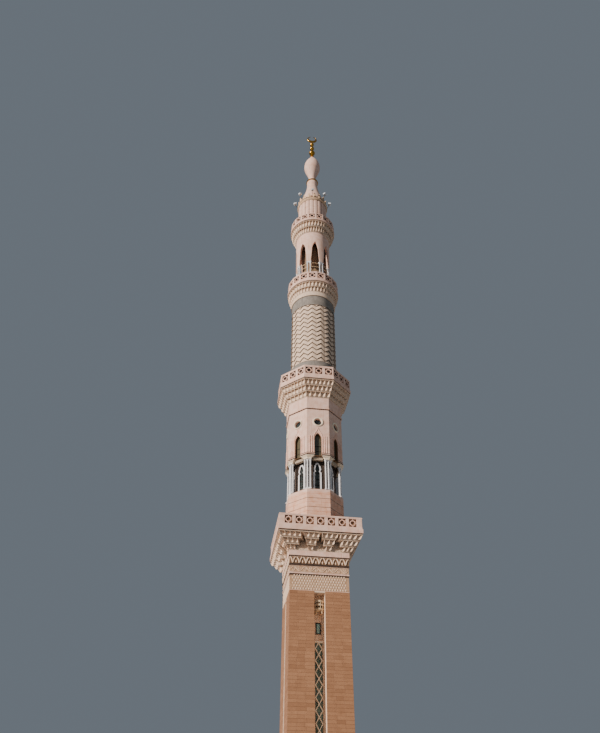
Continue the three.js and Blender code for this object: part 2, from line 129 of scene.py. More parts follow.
def add_node(tree, kind, settings=None, links=None):
    """Add one node: settings fill its sockets or properties, links feed its sockets."""
    node = tree.nodes.new(kind)
    for name, value in (settings or {}).items():
        if isinstance(name, int) or name in node.inputs:
            node.inputs[name].default_value = value
        else:
            setattr(node, name, value)
    for name, source in (links or {}).items():
        tree.links.new(source, node.inputs[name])
    return node


def start_material(name, **shader_values):
    """A material with its tree, its shader and a socket of object coordinates in metres."""
    material = bpy.data.materials.new(name)
    material.use_nodes = True
    tree = material.node_tree
    shader = tree.nodes["Principled BSDF"]
    for socket, value in shader_values.items():
        shader.inputs[socket.replace("_", " ")].default_value = value
    place = add_node(tree, "ShaderNodeTexCoord").outputs["Object"]
    return material, tree, shader, place


def mixed(tree, factor, first, second):
    """Blend two colours, each a hex code or a socket, by a factor socket or number."""
    node = add_node(tree, "ShaderNodeMix", {"data_type": "RGBA"})
    for index, value in ((0, factor), (6, first), (7, second)):
        if isinstance(value, str):
            node.inputs[index].default_value = srgb(value)
        elif isinstance(value, (int, float)):
            node.inputs[index].default_value = value
        else:
            tree.links.new(value, node.inputs[index])
    return node.outputs[2]


def ramped(tree, source, low, high):
    """Stretch a grey value so that low becomes 0 and high becomes 1."""
    limits = {"From Min": low, "From Max": high}
    return add_node(tree, "ShaderNodeMapRange", limits, {"Value": source}).outputs["Result"]


print("material helpers ready")


# %% [markdown]
# ## Cast stone
#
# Most of the tower is clad in artificial stone: marble grit and white cement, tinted a pinkish
# cream and pressed in moulds. The eye sees a matt, even face with soft clouds about half a metre
# wide on the real wall, a fine grit, and rain streaks that run down it. Clouds and streaks are
# noise, the streaks stretched along Z, and the grit is a small bump. Shade in the hollows of a
# carving is painted: a mesh carries it as a tone, from 0 on the edges to 1 in the depths.
# A few more tints of the same stone are mixed later, each where it is first needed.

# %% Make the stones
REAL_TO_MODEL = 0.1
# The colour that painted shade in the hollows of a carving blends towards.
PAINTED_SHADE_COLOUR = "3d342b"


def cast_stone(name, light, shade, stain, cloud_mm=500, grit_mm=12, roughness=0.78):
    """A pressed stone face: clouds, streaks and grit, with scales given on the real wall."""
    material, tree, shader, place = start_material(name, Roughness=roughness, Specular_IOR_Level=0.3)
    cloud_scale = 1 / (cloud_mm * MM * REAL_TO_MODEL)
    grit_scale = 1 / (grit_mm * MM * REAL_TO_MODEL)
    clouds = add_node(tree, "ShaderNodeTexNoise", {"Scale": cloud_scale, "Detail": 4.0}, {"Vector": place})
    tall = add_node(tree, "ShaderNodeMapping", {"Scale": (1.0, 1.0, 0.08)}, {"Vector": place})
    streaks = add_node(
        tree, "ShaderNodeTexNoise", {"Scale": cloud_scale * 2.5, "Detail": 5.0}, {"Vector": tall.outputs[0]}
    )
    grit = add_node(tree, "ShaderNodeTexNoise", {"Scale": grit_scale, "Detail": 2.0}, {"Vector": place})
    face = mixed(tree, ramped(tree, clouds.outputs["Fac"], 0.35, 0.65), light, shade)
    stained = mixed(tree, ramped(tree, streaks.outputs["Fac"], 0.58, 0.78), face, stain)
    speckled = mixed(tree, ramped(tree, grit.outputs["Fac"], 0.62, 0.8), stained, shade)
    # The tone attribute paints shade: 0 leaves the face as it is, 1 gives the painted shade colour.
    painted_shade_tone = add_node(tree, "ShaderNodeAttribute", {"attribute_name": "tone"})
    tree.links.new(mixed(tree, painted_shade_tone.outputs["Fac"], speckled, PAINTED_SHADE_COLOUR), shader.inputs["Base Color"])
    bump = add_node(
        tree, "ShaderNodeBump", {"Strength": 0.25, "Distance": 0.0008}, {"Height": grit.outputs["Fac"]}
    )
    tree.links.new(bump.outputs["Normal"], shader.inputs["Normal"])
    return material


pink_stone = cast_stone("pink_cast_stone", "f2cdba", "e6baa2", "cc997c")
cream_stone = cast_stone("cream_cast_stone", "e8ceac", "d4b68e", "b49066", cloud_mm=300)
carved_stone = cast_stone("carved_cream_stone", "eed3bb", "debfa2", "ba946e", cloud_mm=260)
light_stone = cast_stone("light_ring_stone", "fbead3", "f0d9bc", "d8b896", cloud_mm=260)
# A darker tint for the sunk grounds of the carving: painted shade.
ground_stone = cast_stone("carving_ground_painted_shade", "cba584", "b48d6b", "95704e", cloud_mm=200)
# Painted shade: a dark stone for joints too deep for light, and for a ground the light never reaches.
shade_stone = cast_stone("painted_shade_stone", "4f3b2f", "3c2c23", "2d2019", cloud_mm=200)
grey_stone = cast_stone("grey_cast_stone", "958c82", "827970", "6b635b")
cast_stones = (pink_stone, cream_stone, carved_stone, light_stone, ground_stone, shade_stone, grey_stone)
print("stones:", [stone.name for stone in cast_stones])


# %% [markdown]
# ## Granite
#
# The square shaft is faced with sawn granite in low courses. Each stone was cut from another
# part of the block, so its tone differs a little, and here every stone carries its own tone as
# a mesh attribute. Feldspar and mica give a salt-and-pepper speckle; it is drawn about five
# times coarser than life, or it would vanish at this distance.

# %% Make the granite
def granite(name, pale, deep, speck):
    """Sawn granite whose tone comes from an attribute that each stone carries."""
    material, tree, shader, place = start_material(name, Roughness=0.55, Specular_IOR_Level=0.4)
    speck_scale = 1 / (15 * MM * REAL_TO_MODEL)
    tone = add_node(tree, "ShaderNodeAttribute", {"attribute_name": "tone"})
    grains = add_node(tree, "ShaderNodeTexVoronoi", {"Scale": speck_scale}, {"Vector": place})
    veins = add_node(tree, "ShaderNodeTexNoise", {"Scale": 16.0, "Detail": 5.0}, {"Vector": place})
    stone = mixed(tree, tone.outputs["Fac"], deep, pale)
    veined = mixed(tree, ramped(tree, veins.outputs["Fac"], 0.5, 0.8), stone, deep)
    speckled = mixed(tree, ramped(tree, grains.outputs["Distance"], 0.55, 0.95), veined, speck)
    tree.links.new(speckled, shader.inputs["Base Color"])
    bump = add_node(
        tree, "ShaderNodeBump", {"Strength": 0.2, "Distance": 0.0006}, {"Height": grains.outputs["Distance"]}
    )
    tree.links.new(bump.outputs["Normal"], shader.inputs["Normal"])
    return material


shaft_granite = granite("sawn_tan_granite", "bb8863", "9d6e4d", "74513b")
print("granite:", shaft_granite.name)


# %% [markdown]
# ## Marble, glass, gilding and lamp metal
#
# Marble is honed: a little smoother than cast stone, with thin grey veins from distorted noise.
# Window glass is tinted and dark. The finial is gilded copper, so it is a metal with a low
# roughness that varies where rain has dulled it. Lamp housings are powder-coated aluminium, the
# window frames are dark bronze, and the little doors are oiled teak: dark, with a soft sheen.

# %% Make the other finishes
def honed_marble(name, ground, vein):
    """White marble: veins are where strongly distorted noise crosses its middle value."""
    material, tree, shader, place = start_material(name, Roughness=0.32, Specular_IOR_Level=0.5)
    marbling = add_node(
        tree, "ShaderNodeTexNoise", {"Scale": 22.0, "Detail": 8.0, "Distortion": 1.6}, {"Vector": place}
    )
    offset = add_node(
        tree, "ShaderNodeMath", {"operation": "SUBTRACT", 1: 0.5}, {0: marbling.outputs["Fac"]}
    )
    distance = add_node(tree, "ShaderNodeMath", {"operation": "ABSOLUTE"}, {0: offset.outputs[0]})
    veins = ramped(tree, distance.outputs[0], 0.05, 0.0)
    tree.links.new(mixed(tree, veins, ground, vein), shader.inputs["Base Color"])
    return material


def tinted_glass(name, deep, pale):
    """Dark window glass: a gloss coat over a tint that shifts a little from pane to pane."""
    material, tree, shader, place = start_material(name, Roughness=0.12, Specular_IOR_Level=0.6)
    drift = add_node(tree, "ShaderNodeTexNoise", {"Scale": 9.0, "Detail": 2.0}, {"Vector": place})
    tint = mixed(tree, ramped(tree, drift.outputs["Fac"], 0.35, 0.65), deep, pale)
    tree.links.new(tint, shader.inputs["Base Color"])
    return material


def weathered(name, bright, dull, metallic, smooth, rough):
    """A coated, gilded or oiled face whose roughness and colour drift where the weather reached it."""
    material, tree, shader, place = start_material(name, Metallic=metallic)
    weather = add_node(tree, "ShaderNodeTexNoise", {"Scale": 30.0, "Detail": 6.0}, {"Vector": place})
    worn = ramped(tree, weather.outputs["Fac"], 0.4, 0.7)
    tree.links.new(mixed(tree, worn, bright, dull), shader.inputs["Base Color"])
    limits = {"To Min": smooth, "To Max": rough}
    spread = add_node(tree, "ShaderNodeMapRange", limits, {"Value": worn})
    tree.links.new(spread.outputs["Result"], shader.inputs["Roughness"])
    return material


marble = honed_marble("honed_white_marble", "f0ecea", "c9c6c8")
window_glass = tinted_glass("tinted_window_glass", "7ba79f", "97bdb5")
slot_tint = tinted_glass("brown_slot_glass", "6c6049", "545142")
dark_glass = tinted_glass("dark_window_glass", "2e3433", "454d4b")
smoked_glass = tinted_glass("smoked_backing_glass", "5a6a5c", "76877a")
gilding = weathered("gilded_copper", "d9a441", "a8742a", 1.0, 0.18, 0.42)
lamp_paint = weathered("powder_coated_aluminium", "eceff1", "d5d9dd", 0.0, 0.35, 0.55)
bronze = weathered("dark_window_bronze", "3a312a", "231d19", 0.8, 0.4, 0.6)
door_wood = weathered("stained_teak_door", "4a3222", "35241a", 0.0, 0.5, 0.7)
glasses = (window_glass, slot_tint, dark_glass, smoked_glass)
finishes = (marble, *glasses, gilding, lamp_paint, bronze, door_wood)
print("finishes:", [finish.name for finish in finishes])


# %% [markdown]
# ## Shapes as arrays of points
#
# A tower is turned and repeated, so a few small functions do most of the work. A shape is an
# array of points and a list of faces. A loft skins a row of loops with quads: a prism, a turned
# ring and a row of niches are all lofts. Copies around the axis are the same points, turned.

# %% Loft, turn and repeat
def loft(loops, joined_ends=False):
    """Skin loops of equal length; the ends are capped, or joined to make a ring."""
    loops = np.asarray(loops, float)
    rows, size = loops.shape[:2]
    faces = []
    for i in range(rows if joined_ends else rows - 1):
        here, there = i * size, (i + 1) % rows * size
        for j in range(size):
            k = (j + 1) % size
            faces.append((here + j, here + k, there + k, there + j))
    if not joined_ends:
        faces.append(tuple(range(size - 1, -1, -1)))
        faces.append(tuple(range((rows - 1) * size, rows * size)))
    return loops.reshape(-1, 3), faces


def merged(shapes):
    """Several shapes as one."""
    points, faces, count = [], [], 0
    for shape_points, shape_faces in shapes:
        points.append(shape_points)
        faces.extend(tuple(i + count for i in face) for face in shape_faces)
        count += len(shape_points)
    return np.vstack(points), faces


def rotated(shape, angle):
    """A shape turned about the tower's axis."""
    points, faces = shape
    c, s = math.cos(angle), math.sin(angle)
    return points @ np.array([[c, s, 0], [-s, c, 0], [0, 0, 1]]), faces


def moved(shape, x):
    """A shape shifted sideways."""
    return shape[0] + np.array([x, 0.0, 0.0]), shape[1]


def around(shape, count, start=0.0):
    """Copies of a shape, evenly about the axis."""
    return merged([rotated(shape, start + k * 2 * math.pi / count) for k in range(count)])


def block(low, high, chamfer=0.0):
    """A box whose front side, towards -Y, is smaller by the chamfer."""
    (x0, y0, z0), (x1, y1, z1) = low, high
    c = chamfer
    back = [(x0, y1, z0), (x1, y1, z0), (x1, y1, z1), (x0, y1, z1)]
    edge = [(x0, y0 + c, z0), (x1, y0 + c, z0), (x1, y0 + c, z1), (x0, y0 + c, z1)]
    front = [(x0 + c, y0, z0 + c), (x1 - c, y0, z0 + c), (x1 - c, y0, z1 - c), (x0 + c, y0, z1 - c)]
    return loft([back, edge, front] if c else [back, front])


ROUND = 96


def turned(profile, sides=ROUND, centre=(0.0, 0.0), sweep=2 * math.pi, start=None):
    """A closed profile of (half-width, height) points turned about an upright axis.

    With few sides it is a prism with one side facing the front."""
    to_corner = 1 / math.cos(math.pi / sides) if sides <= 8 else 1.0
    whole = sweep >= 2 * math.pi
    first = math.pi / sides if start is None else start
    steps = sides if whole else sides + 1
    loops = []
    for i in range(steps):
        angle = first + i * sweep / sides
        s, c = math.sin(angle), math.cos(angle)
        loops.append([(r * to_corner * s + centre[0], -r * to_corner * c + centre[1], z) for r, z in profile])
    return loft(loops, joined_ends=whole)


def wall_section(inner, edge, low, high):
    """The profile of an upright wall or strip, ready to be turned."""
    return [(inner, low), (edge, low), (edge, high), (inner, high)]


print("shape helpers ready")


# %% [markdown]
# ## From shape to piece
#
# Each finished piece is one object with one material. It rides on the tower's only body, joins
# the list of pieces, and hides the plain solids that it stands for.
# Normals are made to agree, and edges sharper than 35 degrees stay crisp.

# %% Make a piece
pieces = []


def make_piece(name, shape, material, slot, *stands_for, smooth=True, tone=None):
    """Turn a shape in millimetres into an object that belongs to the tower."""
    points, faces = shape
    mesh = bpy.data.meshes.new(name)
    mesh.from_pydata((points * MM).tolist(), [], faces)
    if tone is not None:
        mesh.attributes.new("tone", "FLOAT", "POINT").data.foreach_set("value", tone)
    work = bmesh.new()
    work.from_mesh(mesh)
    bmesh.ops.recalc_face_normals(work, faces=work.faces)
    work.to_mesh(mesh)
    work.free()
    if smooth:
        mesh.shade_smooth()
        mesh.set_sharp_from_angle(angle=math.radians(35))
    mesh.materials.append(material)
    piece = bpy.data.objects.new(name, mesh)
    bpy.context.scene.collection.objects.link(piece)
    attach(piece, "root")
    if stands_for:
        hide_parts(*stands_for)
    pieces.append(piece)
    print(f"{name}: {len(mesh.polygons)} faces")
    return piece


def dress(material, *nodes):
    """Give solids of the frame their finish."""
    for node in nodes:
        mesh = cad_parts[node].data
        mesh.materials.clear()
        mesh.materials.append(material)


SIDES = ("south", "east", "north", "west")
CORNERS = ("southeast", "northeast", "northwest", "southwest")
EIGHTHS = ("sse", "ese", "ene", "nne", "nnw", "wnw", "wsw", "ssw")


# %% [markdown]
# ## Plates with cut outlines
#
# Window frames, arch surrounds and pierced panels are flat plates cut to an outline. A filled
# 2D curve does that well: inner outlines become holes, and the plate gets its thickness from
# the curve's extrusion. The curve is turned into a mesh at once and thrown away.

# %% Cut a plate
def plate(outlines, front, thickness):
    """A plate in x and z whose outer side lies at y = -front; later outlines are holes."""
    curve = bpy.data.curves.new("outline", "CURVE")
    curve.dimensions = "2D"
    curve.fill_mode = "BOTH"
    curve.extrude = thickness / 2
    for outline in outlines:
        spline = curve.splines.new("POLY")
        spline.points.add(len(outline) - 1)
        spline.points.foreach_set("co", [v for x, z in outline for v in (x, z, 0, 1)])
        spline.use_cyclic_u = True
    helper = bpy.data.objects.new("outline", curve)
    bpy.context.scene.collection.objects.link(helper)
    mesh = bpy.data.meshes.new_from_object(helper.evaluated_get(bpy.context.evaluated_depsgraph_get()))
    flat = np.array([v.co for v in mesh.vertices])
    faces = [tuple(p.vertices) for p in mesh.polygons]
    bpy.data.objects.remove(helper)
    bpy.data.curves.remove(curve)
    bpy.data.meshes.remove(mesh)
    points = np.column_stack((flat[:, 0], -flat[:, 2] - front + thickness / 2, flat[:, 1]))
    return weld_shape(points, faces)


def weld_shape(points, faces):
    """Merge points that share a place."""
    keys = {}
    index = [keys.setdefault(tuple(np.round(p, 3)), len(keys)) for p in points]
    return np.array(list(keys)), [tuple(index[i] for i in face) for face in faces]


def circle(radius, z, count=40):
    """A round outline on the middle line."""
    turns = [2 * math.pi * k / count for k in range(count)]
    return [(radius * math.cos(a), z + radius * math.sin(a)) for a in turns]


def pointed(half_width, sill, spring, apex, steps=9, foot=None):
    """A pointed arch of two arcs struck from beyond the middle; the jambs may flare to a wider foot."""
    rise = apex - spring
    offset = (rise ** 2 - half_width ** 2) / (2 * half_width)
    radius = half_width + offset
    sweep = math.atan2(rise, offset)
    arc = np.linspace(0, sweep, steps)
    side = [(radius * math.cos(t) - offset, spring + radius * math.sin(t)) for t in arc]
    left = [(-x, z) for x, z in reversed(side[:-1])]
    foot = foot or half_width
    return [(-foot, sill), (foot, sill), *side, *left]


print("plates ready")


# %% [markdown]
# ## The granite shaft
#
# Low courses of sawn stone, about 0.3 m high on the real tower, face the four corner piers.
# Each stone is a real block with a slight chamfer, a few millimetres proud of the pier, and the
# pier behind shows as mortar in the joints. Widths and tones come from a seeded generator, so
# every run lays the same wall.

# %% Lay the courses
# Mortar of sand, cement and granite dust: matt, and a shade darker than the stones around it.
mortar = cast_stone("granite_mortar", "845f45", "74523a", "644631")
rng = np.random.default_rng(27)
COURSE = 30.0
STONE_WIDTH = 76.0
WIDTH_DRIFT = 12.0
TONE_DRIFT = 0.16
JOINT = 0.9
PROUD = 3.0
RECESS_HALF = 58.0
LINING = 7.3
shaft_half = half("shaft_base")


def stones_between(left, right):
    """Joint places along a course, from left to right."""
    count = max(2, round((right - left) / STONE_WIDTH))
    places = np.linspace(left, right, count + 1)
    places[1:-1] += rng.uniform(-WIDTH_DRIFT, WIDTH_DRIFT, count - 1)
    return places


def course_stones(bottom, top):
    """One course on the front face, as blocks with a tone each."""
    shapes, tones = [], []
    mood = rng.uniform(0.3, 0.7)
    edge = RECESS_HALF - LINING
    for left, right in ((-shaft_half, -edge), (edge, shaft_half + PROUD)):
        places = stones_between(left, right)
        for x0, x1 in zip(places[:-1], places[1:]):
            low = (x0 + JOINT / 2, -shaft_half - PROUD, bottom + JOINT)
            stone = block(low, (x1 - JOINT / 2, -shaft_half, top), chamfer=0.6)
            shapes.append(stone)
            tones.append(np.full(len(stone[0]), np.clip(mood + rng.normal(0, TONE_DRIFT), 0, 1)))
    return shapes, tones


shaft_bottom = head("shaft_base")
shaft_top = head("shaft_pier_southeast")
courses = round((shaft_top - shaft_bottom) / COURSE)
levels = np.linspace(shaft_bottom, shaft_top, courses + 1)
for k, side in enumerate(SIDES):
    stones, tones = [], []
    for bottom, top in zip(levels[:-1], levels[1:]):
        row, row_tones = course_stones(bottom, top)
        stones += row
        tones += row_tones
    wall = rotated(merged(stones), k * math.pi / 2)
    make_piece(
        f"granite_courses_{side}", wall, shaft_granite, "granite", smooth=False, tone=np.concatenate(tones)
    )
dress(mortar, "shaft_base", *(f"shaft_pier_{corner}" for corner in CORNERS))


# %% [markdown]
# ## The recess in each face
#
# A deep slot runs up the middle of each side. It is lined with pink cast stone and holds a
# lattice in front of smoked glass, a small window above it, and a little rounded balcony under
# the carved courses. The lining and the lattice are solids of the frame and keep their shape.

# %% Dress the recess
# The lattice is a paler tint of the cast stone: painted light, where the deep recess keeps the sun off it.
lattice_stone = cast_stone("lattice_painted_light", "fff3e0", "f3e2c8", "dac3a2", cloud_mm=200)
WINDOW = {"half": 21.0, "bottom": 2086.0, "top": 2184.0, "frame": 6.0}
RECESS_DEPTH = 100.0
LATTICE_HALF = 34.0
wall_face = shaft_half - RECESS_DEPTH


def casement():
    """A dark frame around the hole in the recess wall."""
    w, z0, z1, f = WINDOW["half"], WINDOW["bottom"], WINDOW["top"], WINDOW["frame"]
    outer = [(-w - 3, z0 - 3), (w + 3, z0 - 3), (w + 3, z1 + 3), (-w - 3, z1 + 3)]
    hole = [(-w + f, z0 + f), (w - f, z0 + f), (w - f, z1 - f), (-w + f, z1 - f)]
    return plate([outer, hole], wall_face + 5, 5)


def window_pane():
    w, z0, z1, f = WINDOW["half"], WINDOW["bottom"], WINDOW["top"], WINDOW["frame"]
    return block((-w + f - 1, -wall_face + 1, z0 + f - 1), (w - f + 1, -wall_face + 4, z1 - f + 1))


def lattice_backing():
    low, high = foot("lattice_screen_south"), head("lattice_screen_south")
    return block((-LATTICE_HALF, -wall_face - 0.24, low), (LATTICE_HALF, -wall_face - 0.04, high))


ORIEL = {"radius": 48.0, "forward": 28.0, "slab": (26, 44), "rails": ((66, 84), (98, 118)), "console": 26.0}
oriel_low = foot("oriel_balcony_south")


def oriel():
    """A half-round balcony: two consoles, a moulded slab, two broad rails and slim posts."""
    r = ORIEL["radius"]
    centre = (0.0, -(wall_face + ORIEL["forward"]))
    low, floor = (oriel_low + z for z in ORIEL["slab"])
    slab = [(0.5, low), (r - 6, low), (r - 4, low + 4), (r, low + 8), (r, floor), (0.5, floor)]
    shapes = [turned(slab, 24, centre, math.pi, -math.pi / 2)]
    shapes.append(block((-r + 2, centre[1], low), (r - 2, -wall_face, floor)))
    for start, end in ORIEL["rails"]:
        z0, z1 = oriel_low + start, oriel_low + end
        hoop = [(r - 6, z0), (r - 1, z0), (r, z0 + 2), (r, z1 - 2), (r - 1, z1), (r - 6, z1)]
        shapes.append(turned(hoop, 24, centre, math.pi, -math.pi / 2))
    for x in (-ORIEL["console"], ORIEL["console"]):
        shapes.append(block((x - 6, centre[1] - 30, oriel_low), (x + 6, -wall_face, low + 1), 4))
    top = oriel_low + ORIEL["rails"][1][1] - 2
    for angle in (-75, -45, -15, 15, 45, 75):
        x = math.sin(math.radians(angle)) * (r - 3.2)
        y = centre[1] - math.cos(math.radians(angle)) * (r - 3.2)
        shapes.append(turned([(0.3, floor - 1), (2.6, floor - 1), (2.6, top), (0.3, top)], 10, (x, y)))
    return merged(shapes)


def oriel_door():
    """Two panelled leaves behind the little balcony, in a plain frame."""
    low, high, w = oriel_low + ORIEL["slab"][1], oriel_low + 128, 35.0
    shapes = [block((-w, -wall_face - 1.2, low), (w, -wall_face - 0.05, high))]
    for x in (-w + 2, 1):
        for z0, z1 in ((low + 3, low + 34), (low + 38, high - 3)):
            shapes.append(block((x, -wall_face - 4, z0), (x + w - 3, -wall_face - 1, z1), 2))
    return merged(shapes)


for k, side in enumerate(SIDES):
    turn = k * math.pi / 2
    for name, make, finish in (
        ("window_casement", casement, bronze),
        ("window_pane", window_pane, window_glass),
        ("lattice_glass", lattice_backing, smoked_glass),
    ):
        make_piece(f"{name}_{side}", rotated(make(), turn), finish, "window_glass", smooth=False)
    make_piece(f"oriel_{side}", rotated(oriel(), turn), cream_stone, "cream_stone", f"oriel_balcony_{side}")
    make_piece(f"oriel_door_{side}", rotated(oriel_door(), turn), door_wood, "window_glass", smooth=False)
    dress(carved_stone, f"recess_wall_{side}")
    dress(lattice_stone, f"lattice_screen_{side}")


# %% [markdown]
# ## The carved courses
#
# Three bands of carving close the shaft: a diaper of small lozenges, a vine scroll with a curl
# in every bend, and a frieze of folded Vs with a drop between them. A mason sinks the ground and
# leaves the pattern standing. Here a sunk ground in a darker tint, painted shade, is laid on the
# plain course of the frame, and every stroke of the pattern is a small bar with sloping sides.

# %% Carve the bands
# Each band has its foot, its head and how proud of the shaft its course stands. The frieze's
# ground lies deep under the folds, so its stone is a browner tint: painted shade.
frieze_stone = cast_stone("shaded_frieze_ground", "8a6a4e", "745640", "5c4330", cloud_mm=200)
BANDS = {"diaper": (2450, 2600, 0), "scroll": (2622, 2676, 2), "frieze": (2700, 2771, 5)}
GROUND = 0.6
STRIP = 3.0


def lozenge(x, z, half_width, half_height, face, rise):
    """A low four-sided pyramid on the front face."""
    rim = [(x - half_width, z), (x, z - half_height), (x + half_width, z), (x, z + half_height)]
    base = [(u, -face, v) for u, v in rim]
    tip = [(x + (u - x) * 0.35, -face - rise, z + (v - z) * 0.35) for u, v in rim]
    return loft([base, tip])


def stroke(points, width, face, rise):
    """A raised line through the points on the front face, narrower at its top."""
    points = np.array(points, float)
    along = np.gradient(points, axis=0)
    along /= np.linalg.norm(along, axis=1)[:, None]
    across = np.column_stack((-along[:, 1], along[:, 0])) * width / 2
    loops = []
    for (x, z), (u, v) in zip(points, across):
        loops.append([
            (x - u, -face, z - v), (x - u / 2, -face - rise, z - v / 2),
            (x + u / 2, -face - rise, z + v / 2), (x + u, -face, z + v),
        ])
    return loft(loops)


def diaper(face):
    low, high, _ = BANDS["diaper"]
    rows = 6
    step = (high - low) / rows
    shapes = []
    for row in range(rows):
        count = int((2 * face - 16) // step) - row % 2
        for i in range(count):
            x = (i - (count - 1) / 2) * step
            shapes.append(lozenge(x, low + (row + 0.5) * step, step * 0.42, step * 0.48, face, 4.0))
    return merged(shapes)


def scroll(face):
    """A stem that winds along the band, and a curl with a bud inside each bend."""
    low, high, _ = BANDS["scroll"]
    middle, reach = (low + high) / 2, (high - low) * 0.34
    bends = 10
    pitch = (2 * face - 24) / bends
    line = np.linspace(-face + 12, face - 12, bends * 8 + 1)
    stem = [(x, middle + reach * math.sin((x + face - 12) * math.pi / pitch)) for x in line]
    shapes = [stroke(stem, 7, face, 4.0)]
    for i in range(bends):
        x = (i + 0.5) * pitch - face + 12
        z = middle - reach * 0.45 * (1 if i % 2 == 0 else -1)
        curl = [(x + 11 * math.cos(a), z + 11 * math.sin(a)) for a in np.linspace(0, 2 * math.pi, 13)]
        shapes += [stroke(curl, 5, face, 3.5), lozenge(x, z, 5, 5, face, 3.5)]
    for z in (low, high):
        shapes.append(stroke([(-face + 2, z), (face - 2, z)], 5, face, 4.0))
    return merged(shapes)


def frieze(face):
    """Folded Vs with a drop between each pair, under a fillet."""
    low, high, _ = BANDS["frieze"]
    count = 9
    pitch = 2 * face / count
    shapes = [stroke([(-face + 1, high - 4), (face - 1, high - 4)], 9, face, 7.0)]
    for i in range(count):
        x = (i + 0.5) * pitch - face
        arms = [(x - pitch * 0.42, high - 6), (x - pitch * 0.2, high - 22), (x, low + 6)]
        shapes.append(stroke(arms, 12, face, 7.0))
        shapes.append(stroke([(2 * x - u, z) for u, z in arms], 12, face, 7.0))
        if i:
            shapes.append(lozenge(x - pitch / 2, low + 20, 8, 16, face, 7.0))
    return merged(shapes)


grounds = []
for name, carve in (("diaper", diaper), ("scroll", scroll), ("frieze", frieze)):
    low, high, proud = BANDS[name]
    face = shaft_half + proud + GROUND
    relief = around(carve(face - 0.1), 4)
    make_piece(f"carved_{name}", relief, carved_stone, "pink_stone", smooth=False)
    ground = turned(wall_section(face - STRIP, face, low, high), 4)
    if name == "frieze":
        make_piece("frieze_ground", ground, frieze_stone, "pink_stone", smooth=False)
    else:
        grounds.append(ground)
make_piece("carved_grounds", merged(grounds), ground_stone, "pink_stone", smooth=False)


def joint_line(low, high, half_width, sides=4):
    """A strip of painted shade just proud of a wall, for a joint too deep for light to reach."""
    edge = half_width + 0.9
    return turned(wall_section(edge - STRIP, edge, low, high), sides)


# Strips of painted shade where the carved bands meet.
CARVED_JOINTS = (
    (2588, 2606, shaft_half + 1.6), (2680, 2701, shaft_half + 8), (2766, 2780, half("carved_courses")),
)
carved_joints = merged([joint_line(*line) for line in CARVED_JOINTS])
make_piece("carved_joints", carved_joints, shade_stone, "pink_stone", smooth=False)
dress(pink_stone, "carved_courses")


# %% [markdown]
# ## Rows of niches
#
# Muqarnas are small hollow niches in rows, each row leaning out over the one below to carry a
# balcony. A niche has an upright, hollow back and a half-dome for a head, and the thin fins
# between two niches sweep out to meet the slab of the next row. So the slice through a row
# depends on where we are across the niche, and the whole row is one loft around the tower.
# Light from one side then fills the right of every hollow and leaves its head dark. The heads
# and feet of the hollows also carry painted shade in their tone.

# %% Loft a row of niches
CELL_SHARES = (0.0, 0.045, 0.07, 0.12, 0.2, 0.3, 0.4, 0.5, 0.6, 0.7, 0.8, 0.88, 0.93, 0.955)
CELL_LEVELS = (0.0, 0.05, 0.1, 0.16, 0.24, 0.5, 0.74, 0.8, 0.86, 0.91, 0.95, 0.98, 1.0)
HOLLOW = 13.0
SLAB = 5.0
SHADOW_GAP = 13.0
SWEEP = 0.16
FACE = 0.55
DOME = 0.74
# Painted shade in the heads of the niches and at their feet, as shares of full tone.
HEAD_SHADE, FOOT_SHADE = 0.55, 0.6


def niche_profile(share, low_out, high_out, bottom, top, inner):
    """One upright slice through a row: (out, height, painted shade) of slab edge, niche or fin, and back."""
    across = abs(2 * share - 1)
    fin = min(1.0, max(0.0, (across - 0.86) / 0.05))
    step = high_out - low_out
    front = [(low_out + 2, bottom, 0.0), (low_out + 2, bottom + SLAB, 0.3)]
    for h in CELL_LEVELS:
        lean = min(1.0, h / SWEEP) ** 1.5
        dome = 1 - math.sqrt(1 - max(0.0, (h - DOME) / (1 - DOME)) ** 2)
        hollow = HOLLOW * (1 - across ** 2) * min(1.0, h / SWEEP)
        back = low_out + step * (FACE * lean + (1 - FACE) * dome) - hollow
        late = min(1.0, max(0.0, (h - 0.1) / SWEEP))
        fin_edge = low_out + step * (FACE * late + (1 - FACE) * h ** 2) + 4 * late * (1 - h)
        head_shade = HEAD_SHADE * min(1.0, max(0.0, (h - DOME) / 0.15)) * (1 - fin)
        foot_shade = FOOT_SHADE * max(0.0, 1 - h / 0.12)
        shade_tone = max(head_shade, foot_shade)
        front.append((back + (fin_edge - back) * fin, bottom + SLAB + (top - bottom - SLAB) * h, shade_tone))
    return front + [(inner, top, 1.0), (inner, bottom, 1.0)]


def niche_run(sides, cells, start, end, **shape):
    """Cells side by side on the front face, from start to end as parts of its half-width."""
    wedge = math.tan(math.pi / sides)
    loops, tone = [], []
    for column in [cell + share for cell in range(cells) for share in CELL_SHARES] + [cells]:
        across = start + (end - start) * column / cells
        profile = niche_profile(column % 1.0, **shape)
        loops.append([(across * out * wedge, -out, z) for out, z, _ in profile])
        tone += [shade_tone for _, _, shade_tone in profile]
    return loft(loops), np.array(tone)


def toned(shape, value):
    """A shape and one tone for all its points."""
    return shape, np.full(len(shape[0]), value)


def under_floor(sides, lip, top, inner):
    """A thin ledge over the heads of the niches, and the sunk joint above it in painted shade."""
    low = top - SHADOW_GAP
    ledge = turned(wall_section(inner, lip + 1, low - 4, low), sides)
    sunk = turned(wall_section(inner, lip - 4, low - 1, top), sides)
    return [toned(ledge, 0.0), toned(sunk, 1.0)]


def make_niches(node, toned_shapes):
    shape = merged([shape for shape, _ in toned_shapes])
    tone = np.concatenate([tone for _, tone in toned_shapes])
    return make_piece(f"{node}_niches", shape, carved_stone, "cream_stone", node, smooth=False, tone=tone)


